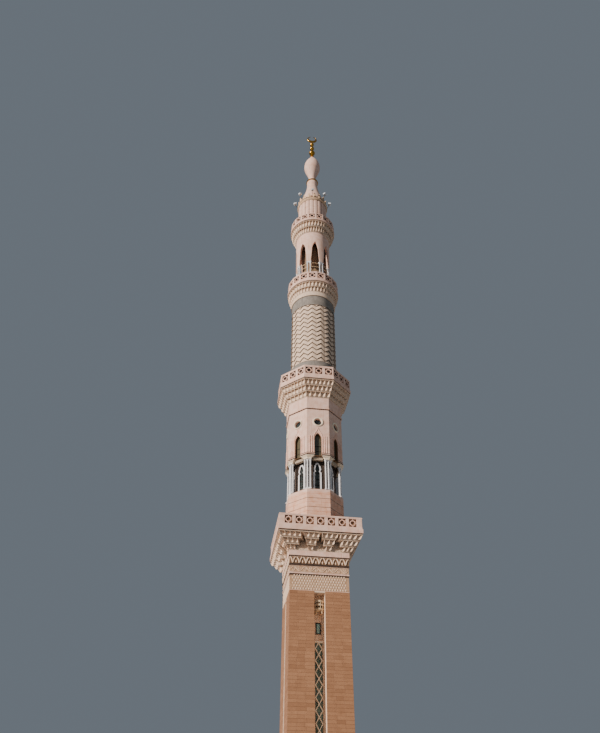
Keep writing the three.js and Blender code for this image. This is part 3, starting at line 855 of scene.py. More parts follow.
def niche_rows(level, sides, cells_in_row, wall, lip, bottom):
    """Rows of niches under a balcony, from the wall out to the lip."""
    node = f"muqarnas_{level}"
    top = head(node) - SHADOW_GAP - 3
    rows = len(cells_in_row)
    inner = wall - 34
    rise = (top - bottom) / rows
    step = (lip - wall) / rows
    shapes = under_floor(sides, lip, head(node), inner)
    if bottom > foot(node):
        neck = turned(wall_section(inner, wall, foot(node), bottom))
        shapes.append(toned(neck, 0.0))
    for row, cells in enumerate(cells_in_row):
        stagger = math.pi / sides if sides > 8 and row % 2 else 0.0
        run, tone = niche_run(
            sides, cells, -1.0, 1.0, low_out=wall + row * step, high_out=wall + (row + 1) * step,
            bottom=bottom + row * rise, top=bottom + (row + 1) * rise, inner=inner,
        )
        shapes.append((around(run, sides, stagger), np.tile(tone, sides)))
    return make_niches(node, shapes)


NECK_TOP = 6380.0
niche_rows(2, 8, (5, 6, 7), half("octagon_band") - 2, half("balcony_floor_2") - 6, foot("muqarnas_2"))
niche_rows(3, 44, (1, 1), half("cylinder_collar") + 11, half("balcony_floor_3") - 6, NECK_TOP)
niche_rows(4, 44, (1, 1), half("drum_arcade") + 4, half("balcony_floor_4") - 6, foot("muqarnas_4"))


# %% [markdown]
# ## The first balcony's clusters
#
# Under the square balcony the niches stand in clusters that narrow downwards, like small
# upside-down pyramids, with a deep dark gap between two clusters. Four cells wide at the
# corners and three in the middle of a side, each lower row loses half a cell at its free ends.
# The wall behind the gaps carries shallow carving, which catches the light at its foot.

# %% Build the clusters
wall_1 = half("carved_courses")
lip_1 = half("balcony_floor_1") - 6
bottom_1, top_1 = foot("muqarnas_1"), head("muqarnas_1") - SHADOW_GAP - 3
CELL = 51.5
CLUSTER_GAP = 31.0
ROW_SHARES = (0.0, 0.31, 0.65, 1.0)


def cluster_spans(row):
    """Start, end and number of cells of each cluster in a row, in millimetres from the middle."""
    lost = 2 - row
    middle = CLUSTER_GAP / 2
    near = (middle + lost * CELL / 2, middle + (3 - lost / 2) * CELL, 3 - lost)
    corner_start = middle + 3 * CELL + CLUSTER_GAP + lost * CELL / 2
    return near, (corner_start, None, 4 - lost)


def cluster_rows():
    toned_shapes = []
    for row in range(3):
        low = bottom_1 + (top_1 - bottom_1) * ROW_SHARES[row]
        high = bottom_1 + (top_1 - bottom_1) * ROW_SHARES[row + 1]
        out_low = wall_1 + (lip_1 - wall_1) * row / 3
        out_high = wall_1 + (lip_1 - wall_1) * (row + 1) / 3
        for start, end, cells in cluster_spans(row):
            stop = out_high if end is None else end
            for sign in (-1, 1):
                ends = sorted((sign * start / out_high, sign * stop / out_high))
                run, tone = niche_run(
                    4, cells, *ends, low_out=out_low, high_out=out_high, bottom=low, top=high,
                    inner=wall_1 - 20,
                )
                toned_shapes.append((around(run, 4), np.tile(tone, 4)))
    return toned_shapes


def gap_carving():
    """Curls and drops on the wall between the clusters, in their lower half."""
    shapes = []
    face = wall_1 + 1
    for x in (0, 3 * CELL + CLUSTER_GAP, -3 * CELL - CLUSTER_GAP):
        for side in (-1, 1):
            curl = [
                (x + side * 24 + 12 * math.cos(a), bottom_1 + 26 + 12 * math.sin(a))
                for a in np.linspace(0, 2 * math.pi, 13)
            ]
            shapes.append(stroke(curl, 6, face, 4.0))
        shapes.append(lozenge(x, bottom_1 + 46, 9, 20, face, 4.0))
        shapes.append(lozenge(x, bottom_1 + 14, 7, 9, face, 4.0))
    return around(merged(shapes), 4)


# The wall behind the clusters: how proud it stands, how high above the foot, and how much painted shade it
# carries.
BACK_WALL = ((1, 0, 0.1), (1, 56, 0.25), (4, 90, 0.7), (10, 145, 1.0))
inner_1 = wall_1 - 59
back_skin = [(wall_1 + out, bottom_1 + z) for out, z, _ in BACK_WALL]
back_wall = turned([(inner_1, bottom_1), *back_skin, (inner_1, top_1)], 4)
back_tone = np.tile([1.0, *(shade_tone for _, _, shade_tone in BACK_WALL), 1.0], 4)
make_niches("muqarnas_1", [
    *under_floor(4, lip_1, head("muqarnas_1"), inner_1), *cluster_rows(), toned(gap_carving(), 0.1),
    (back_wall, back_tone),
])


# %% [markdown]
# ## Balustrades
#
# A balustrade is a foot rail, posts, square panels of tracery and a moulded top rail. The
# tracery is a common one: a ring held by four short spokes in a sunk square, which leaves a dark
# corner on each side of it. One panel is cut as a plate and repeated around the tower. Behind
# it lies a ground of its own, darker where the sun never gets in.

# %% Build the balustrades
# The ground behind the upper panels is the same stone where the sun never gets in: nearly black.
hollow_stone = cast_stone("unlit_hollow_stone", "2f2722", "251e1a", "1c1714", cloud_mm=200)
PLATE = 5.0
RING_SHARES = ((0.8, 32), (0.54, 24))
BEAD_SHARES = ((0.71, 28), (0.63, 28))


def tracery(width, low, high, front):
    """A ring with a bead on it, and the four short spokes that hold it in one panel."""
    middle = (low + high) / 2
    radius = min(width, high - low) / 2
    ring, bead = (
        [circle(radius * share, middle, count=count) for share, count in shares]
        for shares in (RING_SHARES, BEAD_SHARES)
    )
    shapes = [plate(ring, front, PLATE), plate(bead, front + 2, 4)]
    half_width, half_height = width / 2, (high - low) / 2
    for x0, x1, z0, z1 in (
        (radius * 0.77, half_width + 1, -3, 3), (-half_width - 1, -radius * 0.77, -3, 3),
        (-3, 3, radius * 0.77, half_height + 1), (-3, 3, -half_height - 1, -radius * 0.77),
    ):
        shapes.append(block((x0, -front + 0.6, middle + z0), (x1, -front + PLATE, middle + z1)))
    return merged(shapes)


def balustrade(level, sides, bays, pitch, width, rail, base, sink):
    """All parts of a balustrade around one balcony; its ground is a piece of its own."""
    node = f"balustrade_{level}"
    bottom, top = foot(node), head(node)
    panel_low, panel_high = bottom + base, top - rail
    corner_cut = math.cos(math.pi / sides) if sides > 8 else 1.0
    first = 0.0 if sides > 8 else math.pi / sides
    face = half(node) * corner_cut - 4
    back = face - sink - 4
    coping = [(back, panel_high), (face, panel_high), (face + 3, panel_high + rail * 0.3)]
    coping += [(face + 4, panel_high + rail * 0.7), (face + 1, top), (back, top)]
    plinth = [(back, bottom), (face + 2, bottom), (face + 2, panel_low - 3)]
    plinth += [(face, panel_low), (back, panel_low)]
    ground = [(back, panel_low - 1), (face - sink, panel_low - 1), (face - sink, panel_high - 1.5)]
    ground += [(face - 2, panel_high - 1.5), (face - 2, panel_high + 1), (back, panel_high + 1)]
    rings = [turned([(r / corner_cut, z) for r, z in line], sides, start=first) for line in (coping, plinth)]
    side_length = 2 * face * math.tan(math.pi / sides)
    pitch = pitch or side_length / bays
    panel = tracery(width, panel_low, panel_high, face - 1.5)
    shapes = [moved(panel, (bay - (bays - 1) / 2) * pitch) for bay in range(bays)]
    for post in range(bays + 1):
        middle = (post - bays / 2) * pitch
        left = -side_length / 2 if post == 0 else middle - (pitch - width) / 2
        right = side_length / 2 if post == bays else middle + (pitch - width) / 2
        shapes.append(block((left, -face - 0.5, panel_low - 1), (right, -back - 0.5, panel_high + 1)))
    start = math.pi / sides if sides > 8 else 0.0
    body = around(merged(shapes), sides, start)
    make_piece(f"{node}_tracery", merged([*rings, body]), pink_stone, "pink_stone", node, smooth=False)
    sunk = turned([(r / corner_cut, z) for r, z in ground], sides, start=first)
    # Each ground is a darker stone that paints the shade behind the tracery.
    ground_finish = {1: frieze_stone, 2: shade_stone}.get(level, hollow_stone)
    return make_piece(f"{node}_ground", sunk, ground_finish, "pink_stone", smooth=False)


balustrade(1, sides=4, bays=7, pitch=106, width=75, rail=20, base=20, sink=15)
balustrade(2, sides=8, bays=3, pitch=114, width=84, rail=26, base=30, sink=16)
balustrade(3, sides=18, bays=1, pitch=None, width=84, rail=24, base=26, sink=20)
balustrade(4, sides=18, bays=1, pitch=None, width=80, rail=18, base=16, sink=22)
dress(pink_stone, "balcony_floor_1", "balcony_floor_2")


# %% [markdown]
# ## Round floors and rings
#
# The frame's round solids have 32 flat sides, which is plenty for weight and contact but shows
# against the sky. Where the real piece is truly round it is turned again with 96 sides, to the
# same profile.

# %% Turn the round slabs
def round_slab(node, material, slot, inner=1.0, nose=2.0):
    """A round slab or ring with slightly eased edges."""
    low, high = foot(node), head(node)
    edge = half(node)
    profile = [(inner, low), (edge - nose, low), (edge, low + nose)]
    profile += [(edge, high - nose), (edge - nose, high), (inner, high)]
    return make_piece(f"{node}_round", turned(profile), material, slot, node)


round_slab("balcony_floor_3", pink_stone, "pink_stone")
round_slab("balcony_floor_4", pink_stone, "pink_stone")
round_slab("cylinder_foot", grey_stone, "grey_stone", inner=236, nose=4)
round_slab("cylinder_collar", grey_stone, "grey_stone", inner=236, nose=0.5)

# The core inside the drum is plain brown cast stone. Painted shade rises in it: (share of height, painted
# shade).
brown_stone = cast_stone("brown_core_stone", "a58669", "8a6c50", "6d533d", cloud_mm=200)
CORE_INNER = 106.0
CORE_RISE = ((0.0, 0.05), (0.25, 0.1), (0.5, 0.3), (0.75, 0.6), (1.0, 0.95))
core_low, core_high, core_edge = foot("drum_core"), head("drum_core"), half("drum_core")
core_skin = [(core_edge, core_low + (core_high - core_low) * share) for share, _ in CORE_RISE]
core_shape = turned([(CORE_INNER, core_low), *core_skin, (CORE_INNER, core_high)])
core_tone = np.tile([1.0, *(shade_tone for _, shade_tone in CORE_RISE), 1.0], ROUND)
make_piece("drum_core_round", core_shape, brown_stone, "granite", "drum_core", tone=core_tone)


# %% [markdown]
# ## The octagon's foot and band
#
# Courses of pink stone stand on the terrace, with open joints between them. The joints are real
# grooves in the turned profile, so they hold shadow from any side. Two of them, and two lines at
# the band, are drawn over with strips of painted shade.

# %% Turn the octagon's courses
# The foot's stone has a little more red sand in it than the walls above.
course_stone = cast_stone("pink_course_stone", "f3c4aa", "e4ac8d", "c78b69")
GROOVE = 3.0
COURSE_JOINTS = (3255, 3305, 3358, 3404, 3454)
DEEP_JOINTS = (3305, 3404)


def grooved(low, high, joints, edge, inner):
    """An upright wall profile with a V groove at each joint."""
    profile = [(inner, low), (edge, low)]
    for joint in joints:
        profile += [(edge, joint - GROOVE), (edge - GROOVE, joint), (edge, joint + GROOVE)]
    return profile + [(edge, high), (inner, high)]


foot_low, foot_high = foot("octagon_foot"), head("octagon_foot")
foot_edge = half("octagon_foot")
foot_shape = turned(grooved(foot_low, foot_high, COURSE_JOINTS, foot_edge, foot_edge - 45), 8)
make_piece("octagon_courses", foot_shape, course_stone, "pink_stone", "octagon_foot", smooth=False)
octagon_lines = [joint_line(z - 2, z + 2, foot_edge - 1.5, 8) for z in DEEP_JOINTS]
band_low, band_edge = foot("octagon_band"), half("octagon_arcade")
octagon_lines.append(joint_line(band_low - 11, band_low, band_edge, 8))
octagon_lines.append(joint_line(band_low + 16, band_low + 20, band_edge + 1, 8))
make_piece("octagon_joints", merged(octagon_lines), shade_stone, "pink_stone", smooth=False)
dress(pink_stone, "octagon_floor", "octagon_band")


# %% [markdown]
# ## Triple colonnettes
#
# At each corner of the octagon three slim marble shafts stand on one block and carry one
# corbelled capital. Each shaft is turned with a base and a bell. The capital is a moulding
# folded round the corner, because its outline follows both walls that meet there.

# %% Turn the colonnettes
SHAFT_RADIUS = 9.0
cluster_low, cluster_high = foot("colonnettes_sse"), head("colonnettes_sse")
capital_low = cluster_high - 42
corner_out = (foot_edge - 14) / math.cos(math.pi / 8)
arcade_edge = half("octagon_arcade")


def colonnette(x, y, low, high, radius):
    """A turned shaft: torus base, slightly tapered drum, necking and bell."""
    r = radius
    profile = [(0.3, low), (r * 1.5, low), (r * 1.5, low + 5), (r * 1.3, low + 9), (r * 1.35, low + 12)]
    profile += [(r, low + 17), (r * 0.94, high - 30), (r * 1.12, high - 27), (r * 0.96, high - 24)]
    profile += [(r * 1.05, high - 14), (r * 1.5, high - 5), (r * 1.6, high), (0.3, high)]
    return turned(profile, 20, (x, y))


def slabs(x, y, sections):
    """Mouldings over a rectangle: (half-width, half-depth, height) from the bottom up."""
    loops = []
    for w, d, z in sections:
        loops.append([(x - w, y - d, z), (x + w, y - d, z), (x + w, y + d, z), (x - w, y + d, z)])
    return loft(loops)


def cluster():
    """Three shafts with their block and capital, standing at the front before it is turned."""
    y = 10 - corner_out
    base = cluster_low
    shapes = [slabs(0, y, [(44, 18, base), (44, 18, base + 8), (41, 15, base + 12)])]
    for x, back in ((-30.5, 12.3), (0, 6), (30.5, 12.3)):
        shapes.append(colonnette(x, back - corner_out, cluster_low + 12, capital_low, SHAFT_RADIUS))
    return merged([*shapes, slabs(0, y, [(42, 18, capital_low - 3), (42, 18, capital_low + 1)])])


def corner_moulding(wall, outline, depth):
    """A moulding folded round the corner: each point is proud of the wall, reach along it, and height."""
    tan = math.tan(math.pi / 8)
    outline = [*outline, (-depth, outline[-1][1], outline[-1][2]), (-depth, outline[0][1], outline[0][2])]
    start = [(wall * tan - reach, -wall - proud, z) for proud, reach, z in outline]
    corner = [((wall + proud) * tan, -wall - proud, z) for proud, _, z in outline]
    mirrored, _ = rotated((np.array(start) * (-1, 1, 1), None), math.pi / 4)
    return loft([start, corner, mirrored])


def corner_capital():
    """Necking, flare and abacus of one capital."""
    low, high = capital_low, cluster_high
    return corner_moulding(arcade_edge, [
        (-8, 47, low), (-3, 49, low + 3), (-8, 47, low + 7), (-8, 48, low + 10), (-1, 60, low + 22),
        (4, 68, low + 26), (4, 68, low + 30), (0, 68, low + 31), (9, 80, low + 34),
        (9, 80, high - 2), (6, 77, high),
    ], 26)


make_piece("octagon_capitals", around(corner_capital(), 8), light_stone, "pink_stone", smooth=False)
COLLAR_LOW, COLLAR_HIGH, CAPITAL_TOP = cluster_high + 17, cluster_high + 26, cluster_high + 35


def dark_joint(low, high):
    """A joint above the capital, too deep for light to reach, drawn as a strip of painted shade."""
    return corner_moulding(arcade_edge, [(0.9, 84, low), (0.9, 84, high)], 3)


capital_joints = [dark_joint(cluster_high - 1, COLLAR_LOW), dark_joint(COLLAR_HIGH - 2, CAPITAL_TOP)]
capital_collar = corner_moulding(arcade_edge, [
    (4, 84, COLLAR_LOW), (5, 85, COLLAR_LOW + 2), (5, 85, COLLAR_HIGH - 2), (3, 83, COLLAR_HIGH),
], 3)
capital_lines = around(merged(capital_joints), 8)
make_piece("octagon_capital_joints", capital_lines, shade_stone, "pink_stone", smooth=False)
make_piece("octagon_capital_collars", around(capital_collar, 8), pink_stone, "pink_stone", smooth=False)
for k, corner in enumerate(EIGHTHS):
    shape = rotated(cluster(), math.pi / 8 + k * math.pi / 4)
    make_piece(f"marble_{corner}", shape, marble, "marble", f"colonnettes_{corner}")


# %% [markdown]
# ## The arcade wall
#
# Above the colonnettes a wall with eight pointed slots and eight round eyes runs round the
# octagon. The frame has it with few facets. Here the same ring is cut again with smooth
# outlines by Blender's exact boolean, and raised surrounds are set around the holes.

# %% Cut the arcade
def cut(shape, cutter):
    """The first shape less the second, as a new shape."""
    helpers = []
    for points, faces in (shape, cutter):
        mesh = bpy.data.meshes.new("cutting")
        mesh.from_pydata(points.tolist(), [], faces)
        work = bmesh.new()
        work.from_mesh(mesh)
        bmesh.ops.recalc_face_normals(work, faces=work.faces)
        work.to_mesh(mesh)
        work.free()
        helper = bpy.data.objects.new("cutting", mesh)
        bpy.context.scene.collection.objects.link(helper)
        helpers.append(helper)
    modifier = helpers[0].modifiers.new("cut", "BOOLEAN")
    modifier.operation = "DIFFERENCE"
    modifier.solver = "EXACT"
    modifier.use_self = True
    modifier.object = helpers[1]
    result = bpy.data.meshes.new_from_object(helpers[0].evaluated_get(bpy.context.evaluated_depsgraph_get()))
    points = np.array([v.co for v in result.vertices])
    faces = [tuple(p.vertices) for p in result.polygons]
    for helper in helpers:
        bpy.data.meshes.remove(helper.data)
    bpy.data.meshes.remove(result)
    return points, faces


# The wall stays pink. The aprons under the slots lie in shade and are a greyer tint, and the
# reveals are lined with brown stone.
apron_stone = cast_stone("shaded_apron_stone", "bca891", "a5937e", "8b7a68", cloud_mm=200)
lining_stone = cast_stone("reveal_lining", "7d5c3e", "694b32", "523a27", cloud_mm=200)
WALL_THICKNESS = 34.0
SLOT = {"half_width": 38.0, "spring": 4116.0, "apex": 4186.0}
EYE_Z, EYE = 4334.0, 41.0
HOOD = ((52, 4113), (50, 4137), (44, 4162), (33, 4186), (20, 4205), (10, 4223), (4, 4241), (0, 4258))
STRIPS = (-92, -70, 70, 92)
STRIP_TOP = 4152.0
TRANSOMS = (3966, 4030)
arcade_low, arcade_high = cluster_high, head("octagon_arcade")

ring = turned(wall_section(arcade_edge - WALL_THICKNESS, arcade_edge, arcade_low, arcade_high), 8)
slot_outline = pointed(SLOT["half_width"], arcade_low - 5, SLOT["spring"], SLOT["apex"])
slot_cut = plate([slot_outline], arcade_edge + 20, 90)
eye_cut = plate([circle(EYE, EYE_Z)], arcade_edge + 20, 90)
arcade = cut(ring, around(merged([slot_cut, eye_cut]), 8))
apron = block((-56, -arcade_edge + 22, foot("octagon_arcade")), (56, -arcade_edge + 50, arcade_low), 3)


def surround():
    """An ogee hood and a close moulding around the slot, and a pair of strips on each side."""
    face = arcade_edge - 0.5
    right_side = [(52, CAPITAL_TOP), *HOOD]
    hood = [(-x, z) for x, z in right_side] + [(x, z) for x, z in reversed(right_side[:-1])]
    shapes = [stroke(hood, 7, face, 5.5)]
    inner = pointed(SLOT["half_width"] + 5, CAPITAL_TOP, SLOT["spring"], SLOT["apex"] + 8)
    shapes.append(stroke([*inner[1:], inner[0]], 4, face, 3.5))
    for x in STRIPS:
        shapes.append(stroke([(x, CAPITAL_TOP), (x, STRIP_TOP)], 8, face, 6.5))
    return merged(shapes)


def eye_ring():
    """A broad round moulding around the eye."""
    outline = circle(EYE + 10, EYE_Z)
    return stroke([*outline, outline[0]], 19, arcade_edge - 0.5, 9.5)


def slot_glass():
    return plate([slot_outline], arcade_edge - 31, 2)


def slot_lining():
    """A thin brown lining of the reveal, from just behind the face back to the glass."""
    w, spring, apex = SLOT["half_width"], SLOT["spring"], SLOT["apex"]
    return plate([slot_outline, pointed(w - 1.5, arcade_low, spring, apex - 3)], arcade_edge - 3, 30)


def eye_glass():
    return plate([circle(EYE + 1, EYE_Z)], arcade_edge - 20, 2)


def slot_frame():
    """A slim frame around the glass, with two transoms above the foot."""
    w, spring, apex = SLOT["half_width"], SLOT["spring"], SLOT["apex"]
    rim = pointed(w - 3, arcade_low + 6, spring, apex - 6)
    shapes = [plate([slot_outline, rim], arcade_edge - 28, 4)]
    for z in TRANSOMS:
        shapes.append(block((-w, -arcade_edge + 28.5, z), (w, -arcade_edge + 32, z + 6)))
    return merged(shapes)


make_piece("octagon_arcade_wall", arcade, pink_stone, "pink_stone", "octagon_arcade", smooth=False)
make_piece("octagon_aprons", around(apron, 8), apron_stone, "cream_stone", smooth=False)
make_piece("octagon_surrounds", around(surround(), 8), pink_stone, "pink_stone", smooth=False)
make_piece("octagon_eye_rings", around(eye_ring(), 8), light_stone, "pink_stone", smooth=False)
make_piece("octagon_slot_glass", around(slot_glass(), 8), slot_tint, "window_glass", smooth=False)
make_piece("octagon_eye_glass", around(eye_glass(), 8), dark_glass, "window_glass", smooth=False)
make_piece("octagon_slot_frames", around(slot_frame(), 8), bronze, "window_glass", smooth=False)
make_piece("octagon_slot_linings", around(slot_lining(), 8), lining_stone, "pink_stone", smooth=False)


# %% [markdown]
# ## Marble windows behind the colonnettes
#
# Deep between the corner shafts stands a plain inner wall. Each side holds a window in a white
# marble frame with a lobed head: straight jambs, a pinched neck, and a rounded, pointed top.

# %% Frame the inner windows
# The inner wall never sees the sun: its stone is painted dark as shade.
dark_stone = cast_stone("inner_wall_painted_shade", "54453b", "41352d", "302721", cloud_mm=200)
inner_edge = half("octagon_inner_wall")
LOBE_NECK = 3752.0
GLAZING_BARS = (3590, 3660, 3730)


def lobed(half_width, sill, neck, apex):
    """Straight jambs, a pinch at the neck and a horseshoe head."""
    pinch = half_width * 0.66
    right_side = [(half_width, sill), (half_width, neck - 14), (pinch, neck - 4), (pinch, neck + 3)]
    head_low = neck + 6
    rise = apex - head_low
    for share in np.linspace(0, 1, 9)[1:-1]:
        right_side.append((half_width * 0.92 * math.cos(share * math.pi / 2) ** 0.6, head_low + rise * share))
    left_side = [(-x, z) for x, z in reversed(right_side)]
    return [*right_side, (0, apex), *left_side]


def marble_window():
    frame_outline = lobed(44, cluster_low + 6, LOBE_NECK, 3860)
    opening = lobed(27, cluster_low + 22, LOBE_NECK, 3838)
    return plate([frame_outline, opening], inner_edge + 8, 8)


def inner_pane():
    return block((-30, -inner_edge + 6, cluster_low + 18), (30, -inner_edge + 9, 3846))


def glazing_bars():
    shapes = [block((-2, -inner_edge + 1, cluster_low + 20), (2, -inner_edge + 5, 3836))]
    for z in GLAZING_BARS:
        shapes.append(block((-27, -inner_edge + 1, z - 2), (27, -inner_edge + 5, z + 2)))
    return merged(shapes)


make_piece("marble_window_frames", around(marble_window(), 8), marble, "marble", smooth=False)
make_piece("inner_window_glass", around(inner_pane(), 8), dark_glass, "window_glass", smooth=False)
make_piece("inner_window_bars", around(glazing_bars(), 8), bronze, "window_glass", smooth=False)
dress(dark_stone, "octagon_inner_wall", "octagon_inner_ring")


# %% [markdown]
# ## The carved cylinder
#
# The third stage is wrapped in rows of zigzags. Each row is a thin shell that leans out towards
# its lower edge, like a lapped board, and that edge folds up and down all the way around the
# tower. Sunlight catches the slope, and the lower edge throws the dark zigzag line.

# %% Fold the zigzag rows
ZIGZAGS = 16
ROW_HEIGHT = 73.0
FOLD = 46.0
LAP = 10.0
# One row from its lower edge up: (share of its height, out in laps, painted shade).
LAP_SHARES = (
    (0.0, -1, 1.0), (0.02, 0, 0.6), (0.06, 0, 0.0), (0.55, -0.45, 0.0), (0.86, -0.85, 0.1),
    (0.9, -0.9, 0.75), (1.0, -1, 1.0),
)
CYLINDER_WALL = 45.0
cylinder_low, cylinder_high = foot("cylinder_shaft"), head("cylinder_shaft")
cylinder_edge = half("cylinder_shaft")


def zigzag(angle):
    """Height of the fold: a peak half-way between the tower's front and the next period."""
    share = (angle * ZIGZAGS / (2 * math.pi)) % 1.0
    return FOLD * (1 - abs(2 * share - 1)) - FOLD


def lapped_cylinder():
    columns = ZIGZAGS * 12
    rows = round((cylinder_high - cylinder_low + FOLD) / ROW_HEIGHT)
    loops, tone = [], []
    for i in range(columns):
        angle = i * 2 * math.pi / columns
        s, c = math.sin(angle), math.cos(angle)
        slice_points = [(cylinder_edge - CYLINDER_WALL, cylinder_low), (cylinder_edge - LAP, cylinder_low)]
        tone += [1.0, 0.5]
        for row in range(rows + 1):
            low = cylinder_low + row * ROW_HEIGHT + zigzag(angle)
            for share, out, shade_tone in LAP_SHARES:
                z = min(max(low + share * ROW_HEIGHT, cylinder_low), cylinder_high)
                slice_points.append((cylinder_edge + out * LAP, z))
                tone.append(shade_tone)
        slice_points.append((cylinder_edge - LAP, cylinder_high))
        slice_points.append((cylinder_edge - CYLINDER_WALL, cylinder_high))
        tone += [0.5, 1.0]
        loops.append([(r * s, -r * c, z) for r, z in slice_points])
    return loft(loops, joined_ends=True), np.array(tone)


zigzag_shape, zigzag_tone = lapped_cylinder()
make_piece(
    "zigzag_cylinder", zigzag_shape, carved_stone, "cream_stone", "cylinder_shaft",
    smooth=False, tone=zigzag_tone,
)
# Strips of painted shade at the foot of the zigzag rows and under the collar.
ring_lines = [joint_line(cylinder_low - 1, cylinder_low + 5, cylinder_edge + 0.5, ROUND)]
ring_lines.append(joint_line(cylinder_high, cylinder_high + 4, half("cylinder_collar"), ROUND))
make_piece("cylinder_joints", merged(ring_lines), shade_stone, "grey_stone", smooth=False)


# %% [markdown]
# ## The open drum
#
# Eight pointed arches stand all round the fourth stage. The wall between them ends above head
# height, and each pier rests on a pair of marble colonnettes. Guard bars close the openings.

# %% Build the drum
drum_edge = half("drum_arcade")
drum_low, drum_high = foot("drum_arcade"), head("drum_arcade")
DRUM_ARCH = {"half_width": 45.0, "foot": 63.0, "spring": 7269.0, "apex": 7428.0}
drum_ring = turned(wall_section(drum_edge - WALL_THICKNESS, drum_edge, drum_low, drum_high))
arch_outline = pointed(
    DRUM_ARCH["half_width"], drum_low - 10, DRUM_ARCH["spring"], DRUM_ARCH["apex"], 14, DRUM_ARCH["foot"]
)
drum_cut = plate([arch_outline], drum_edge + 20, 90)
drum_wall = cut(drum_ring, around(drum_cut, 8))
make_piece("drum_wall", drum_wall, pink_stone, "pink_stone", "drum_arcade")

ring_radius = drum_edge - 17
pair_low = foot("drum_colonnettes")


def drum_pair():
    """Two shafts under one pier, with a foot and a capital that share their load."""
    top = drum_low
    capital = [(30, 11, top - 24), (32, 13, top - 21), (30, 11, top - 17), (33, 14, top - 7)]
    capital += [(34, 15, top - 5), (34, 15, top)]
    base = [(33, 13.5, pair_low + 19), (33, 13.5, pair_low + 28), (30, 11, pair_low + 31)]
    shapes = [slabs(0, -ring_radius, capital), slabs(0, -ring_radius, base)]
    for x in (-21, 21):
        shapes.append(colonnette(x, -ring_radius, pair_low + 30, top - 24, 8.0))
    return merged(shapes)


def guard_bars(z):
    """Round-nosed bars from pair to pair, one in each of the eight openings."""
    r = ring_radius - 8
    bar = [(r - 4, z), (r + 2, z), (r + 4, z + 2), (r + 4, z + 5), (r + 2, z + 7), (r - 4, z + 7)]
    reach = math.radians(16.5)
    return around(turned(bar, 10, sweep=2 * reach, start=-reach), 8)


BAR_SHARES = (0.62, 0.78, 0.94)
drum_span = drum_low - pair_low
bars = [guard_bars(pair_low + drum_span * share) for share in BAR_SHARES]
plinth = turned([
    (ring_radius - 14, pair_low), (ring_radius + 14, pair_low), (ring_radius + 12, pair_low + 20),
    (ring_radius - 14, pair_low + 20),
])
pairs = around(drum_pair(), 8, math.pi / 8)
make_piece("drum_marble", merged([plinth, pairs]), marble, "marble", "drum_colonnettes")
make_piece("drum_guard_bars", merged(bars), cream_stone, "cream_stone")


# %% [markdown]
# ## The crown
#
# A drum with twenty shallow flutes carries a cornice of folded leaves. Inside the leaves a
# bell-shaped roof rises to a slim neck. The bulb above it is stone too; only the thin ring under
# it and the finial on top are gilded.

# %% Turn the crown
# The leaves are a warmer tint of the cast stone.
leaf_stone = cast_stone("warm_leaf_stone", "efcba8", "dfb48c", "bf8f66", cloud_mm=200)
crown_low, crown_high = foot("fluted_drum"), head("fluted_drum")
CROWN = 204.0
FLUTES = 20
GROOVE_SHARE = 0.09
GROOVE_DEPTH = 11.0
FLUTE_TURN = math.radians(-4)
FLUTE_SHARES = (0.0, 0.03, 0.06, 0.09, 0.2, 0.35, 0.5, 0.65, 0.8, 0.91, 0.94, 0.97)


def fluted():
    """A round wall with a narrow groove between broad, barely curved lands."""
    loops, tone = [], []
    for i in range(FLUTES):
        for share in FLUTE_SHARES:
            angle = FLUTE_TURN + (i + share) * 2 * math.pi / FLUTES
            from_groove = min(share, 1 - share)
            sunk = GROOVE_DEPTH * max(0.0, 1 - from_groove / GROOVE_SHARE)
            r = CROWN + 4 * math.sin(math.pi * share) - sunk
            s, c = math.sin(angle), math.cos(angle)
            loops.append([(q * s, -q * c, z) for q, z in wall_section(CROWN - 45, r, crown_low, crown_high)])
            # Painted shade in the narrow grooves.
            tone += [0.85 if from_groove < 0.05 else 0.0] * 4
    return loft(loops, joined_ends=True), np.array(tone)


flute_shape, flute_tone = fluted()
make_piece("fluted_wall", flute_shape, pink_stone, "grey_stone", "fluted_drum", smooth=False, tone=flute_tone)

cornice_low, cornice_high = foot("crown_cornice"), head("crown_cornice")
LEAVES = 16


def leaf_cornice():
    """A moulded shelf whose top edge folds into pointed leaves, in and out as it goes."""
    columns = LEAVES * 12
    shelf = cornice_low + 44
    loops, tone = [], []
    for i in range(columns):
        angle = i * 2 * math.pi / columns
        share = (angle * LEAVES / (2 * math.pi)) % 1.0
        peak = abs(2 * share - 1)
        top = shelf + 30 + (cornice_high - shelf - 30) * peak ** 0.85
        fold = 9 * peak
        s, c = math.sin(angle), math.cos(angle)
        profile = [
            (CROWN - 44, cornice_low), (CROWN + 5, cornice_low), (CROWN + 7, cornice_low + 6),
            (CROWN + 16, cornice_low + 18), (CROWN + 21, cornice_low + 24), (CROWN + 21, cornice_low + 36),
            (CROWN + 17, shelf), (CROWN + 1 + fold, shelf + 3), (CROWN - 4 + fold * 1.6, (shelf + top) / 2),
            (CROWN + 2 + fold, top - 6), (CROWN - 2 + fold, top), (CROWN - 14 + fold, top),
            (CROWN - 18, shelf + 4), (CROWN - 44, shelf),
        ]
        loops.append([(r * s, -r * c, z) for r, z in profile])
        # Painted shade at the foot of the cornice, at its back and in the valleys between the leaves.
        valley = 0.4 * max(0.0, 1 - peak / 0.2)
        tone += [1.0, 0.8, 0.3, 0.0, 0.0, 0.0, 0.0, 0.3, valley, valley, 0.0, 0.1, 0.6, 1.0]
    return loft(loops, joined_ends=True), np.array(tone)


leaf_shape, leaf_tone = leaf_cornice()
make_piece(
    "leaf_cornice", leaf_shape, leaf_stone, "pink_stone", "crown_cornice", smooth=False, tone=leaf_tone
)


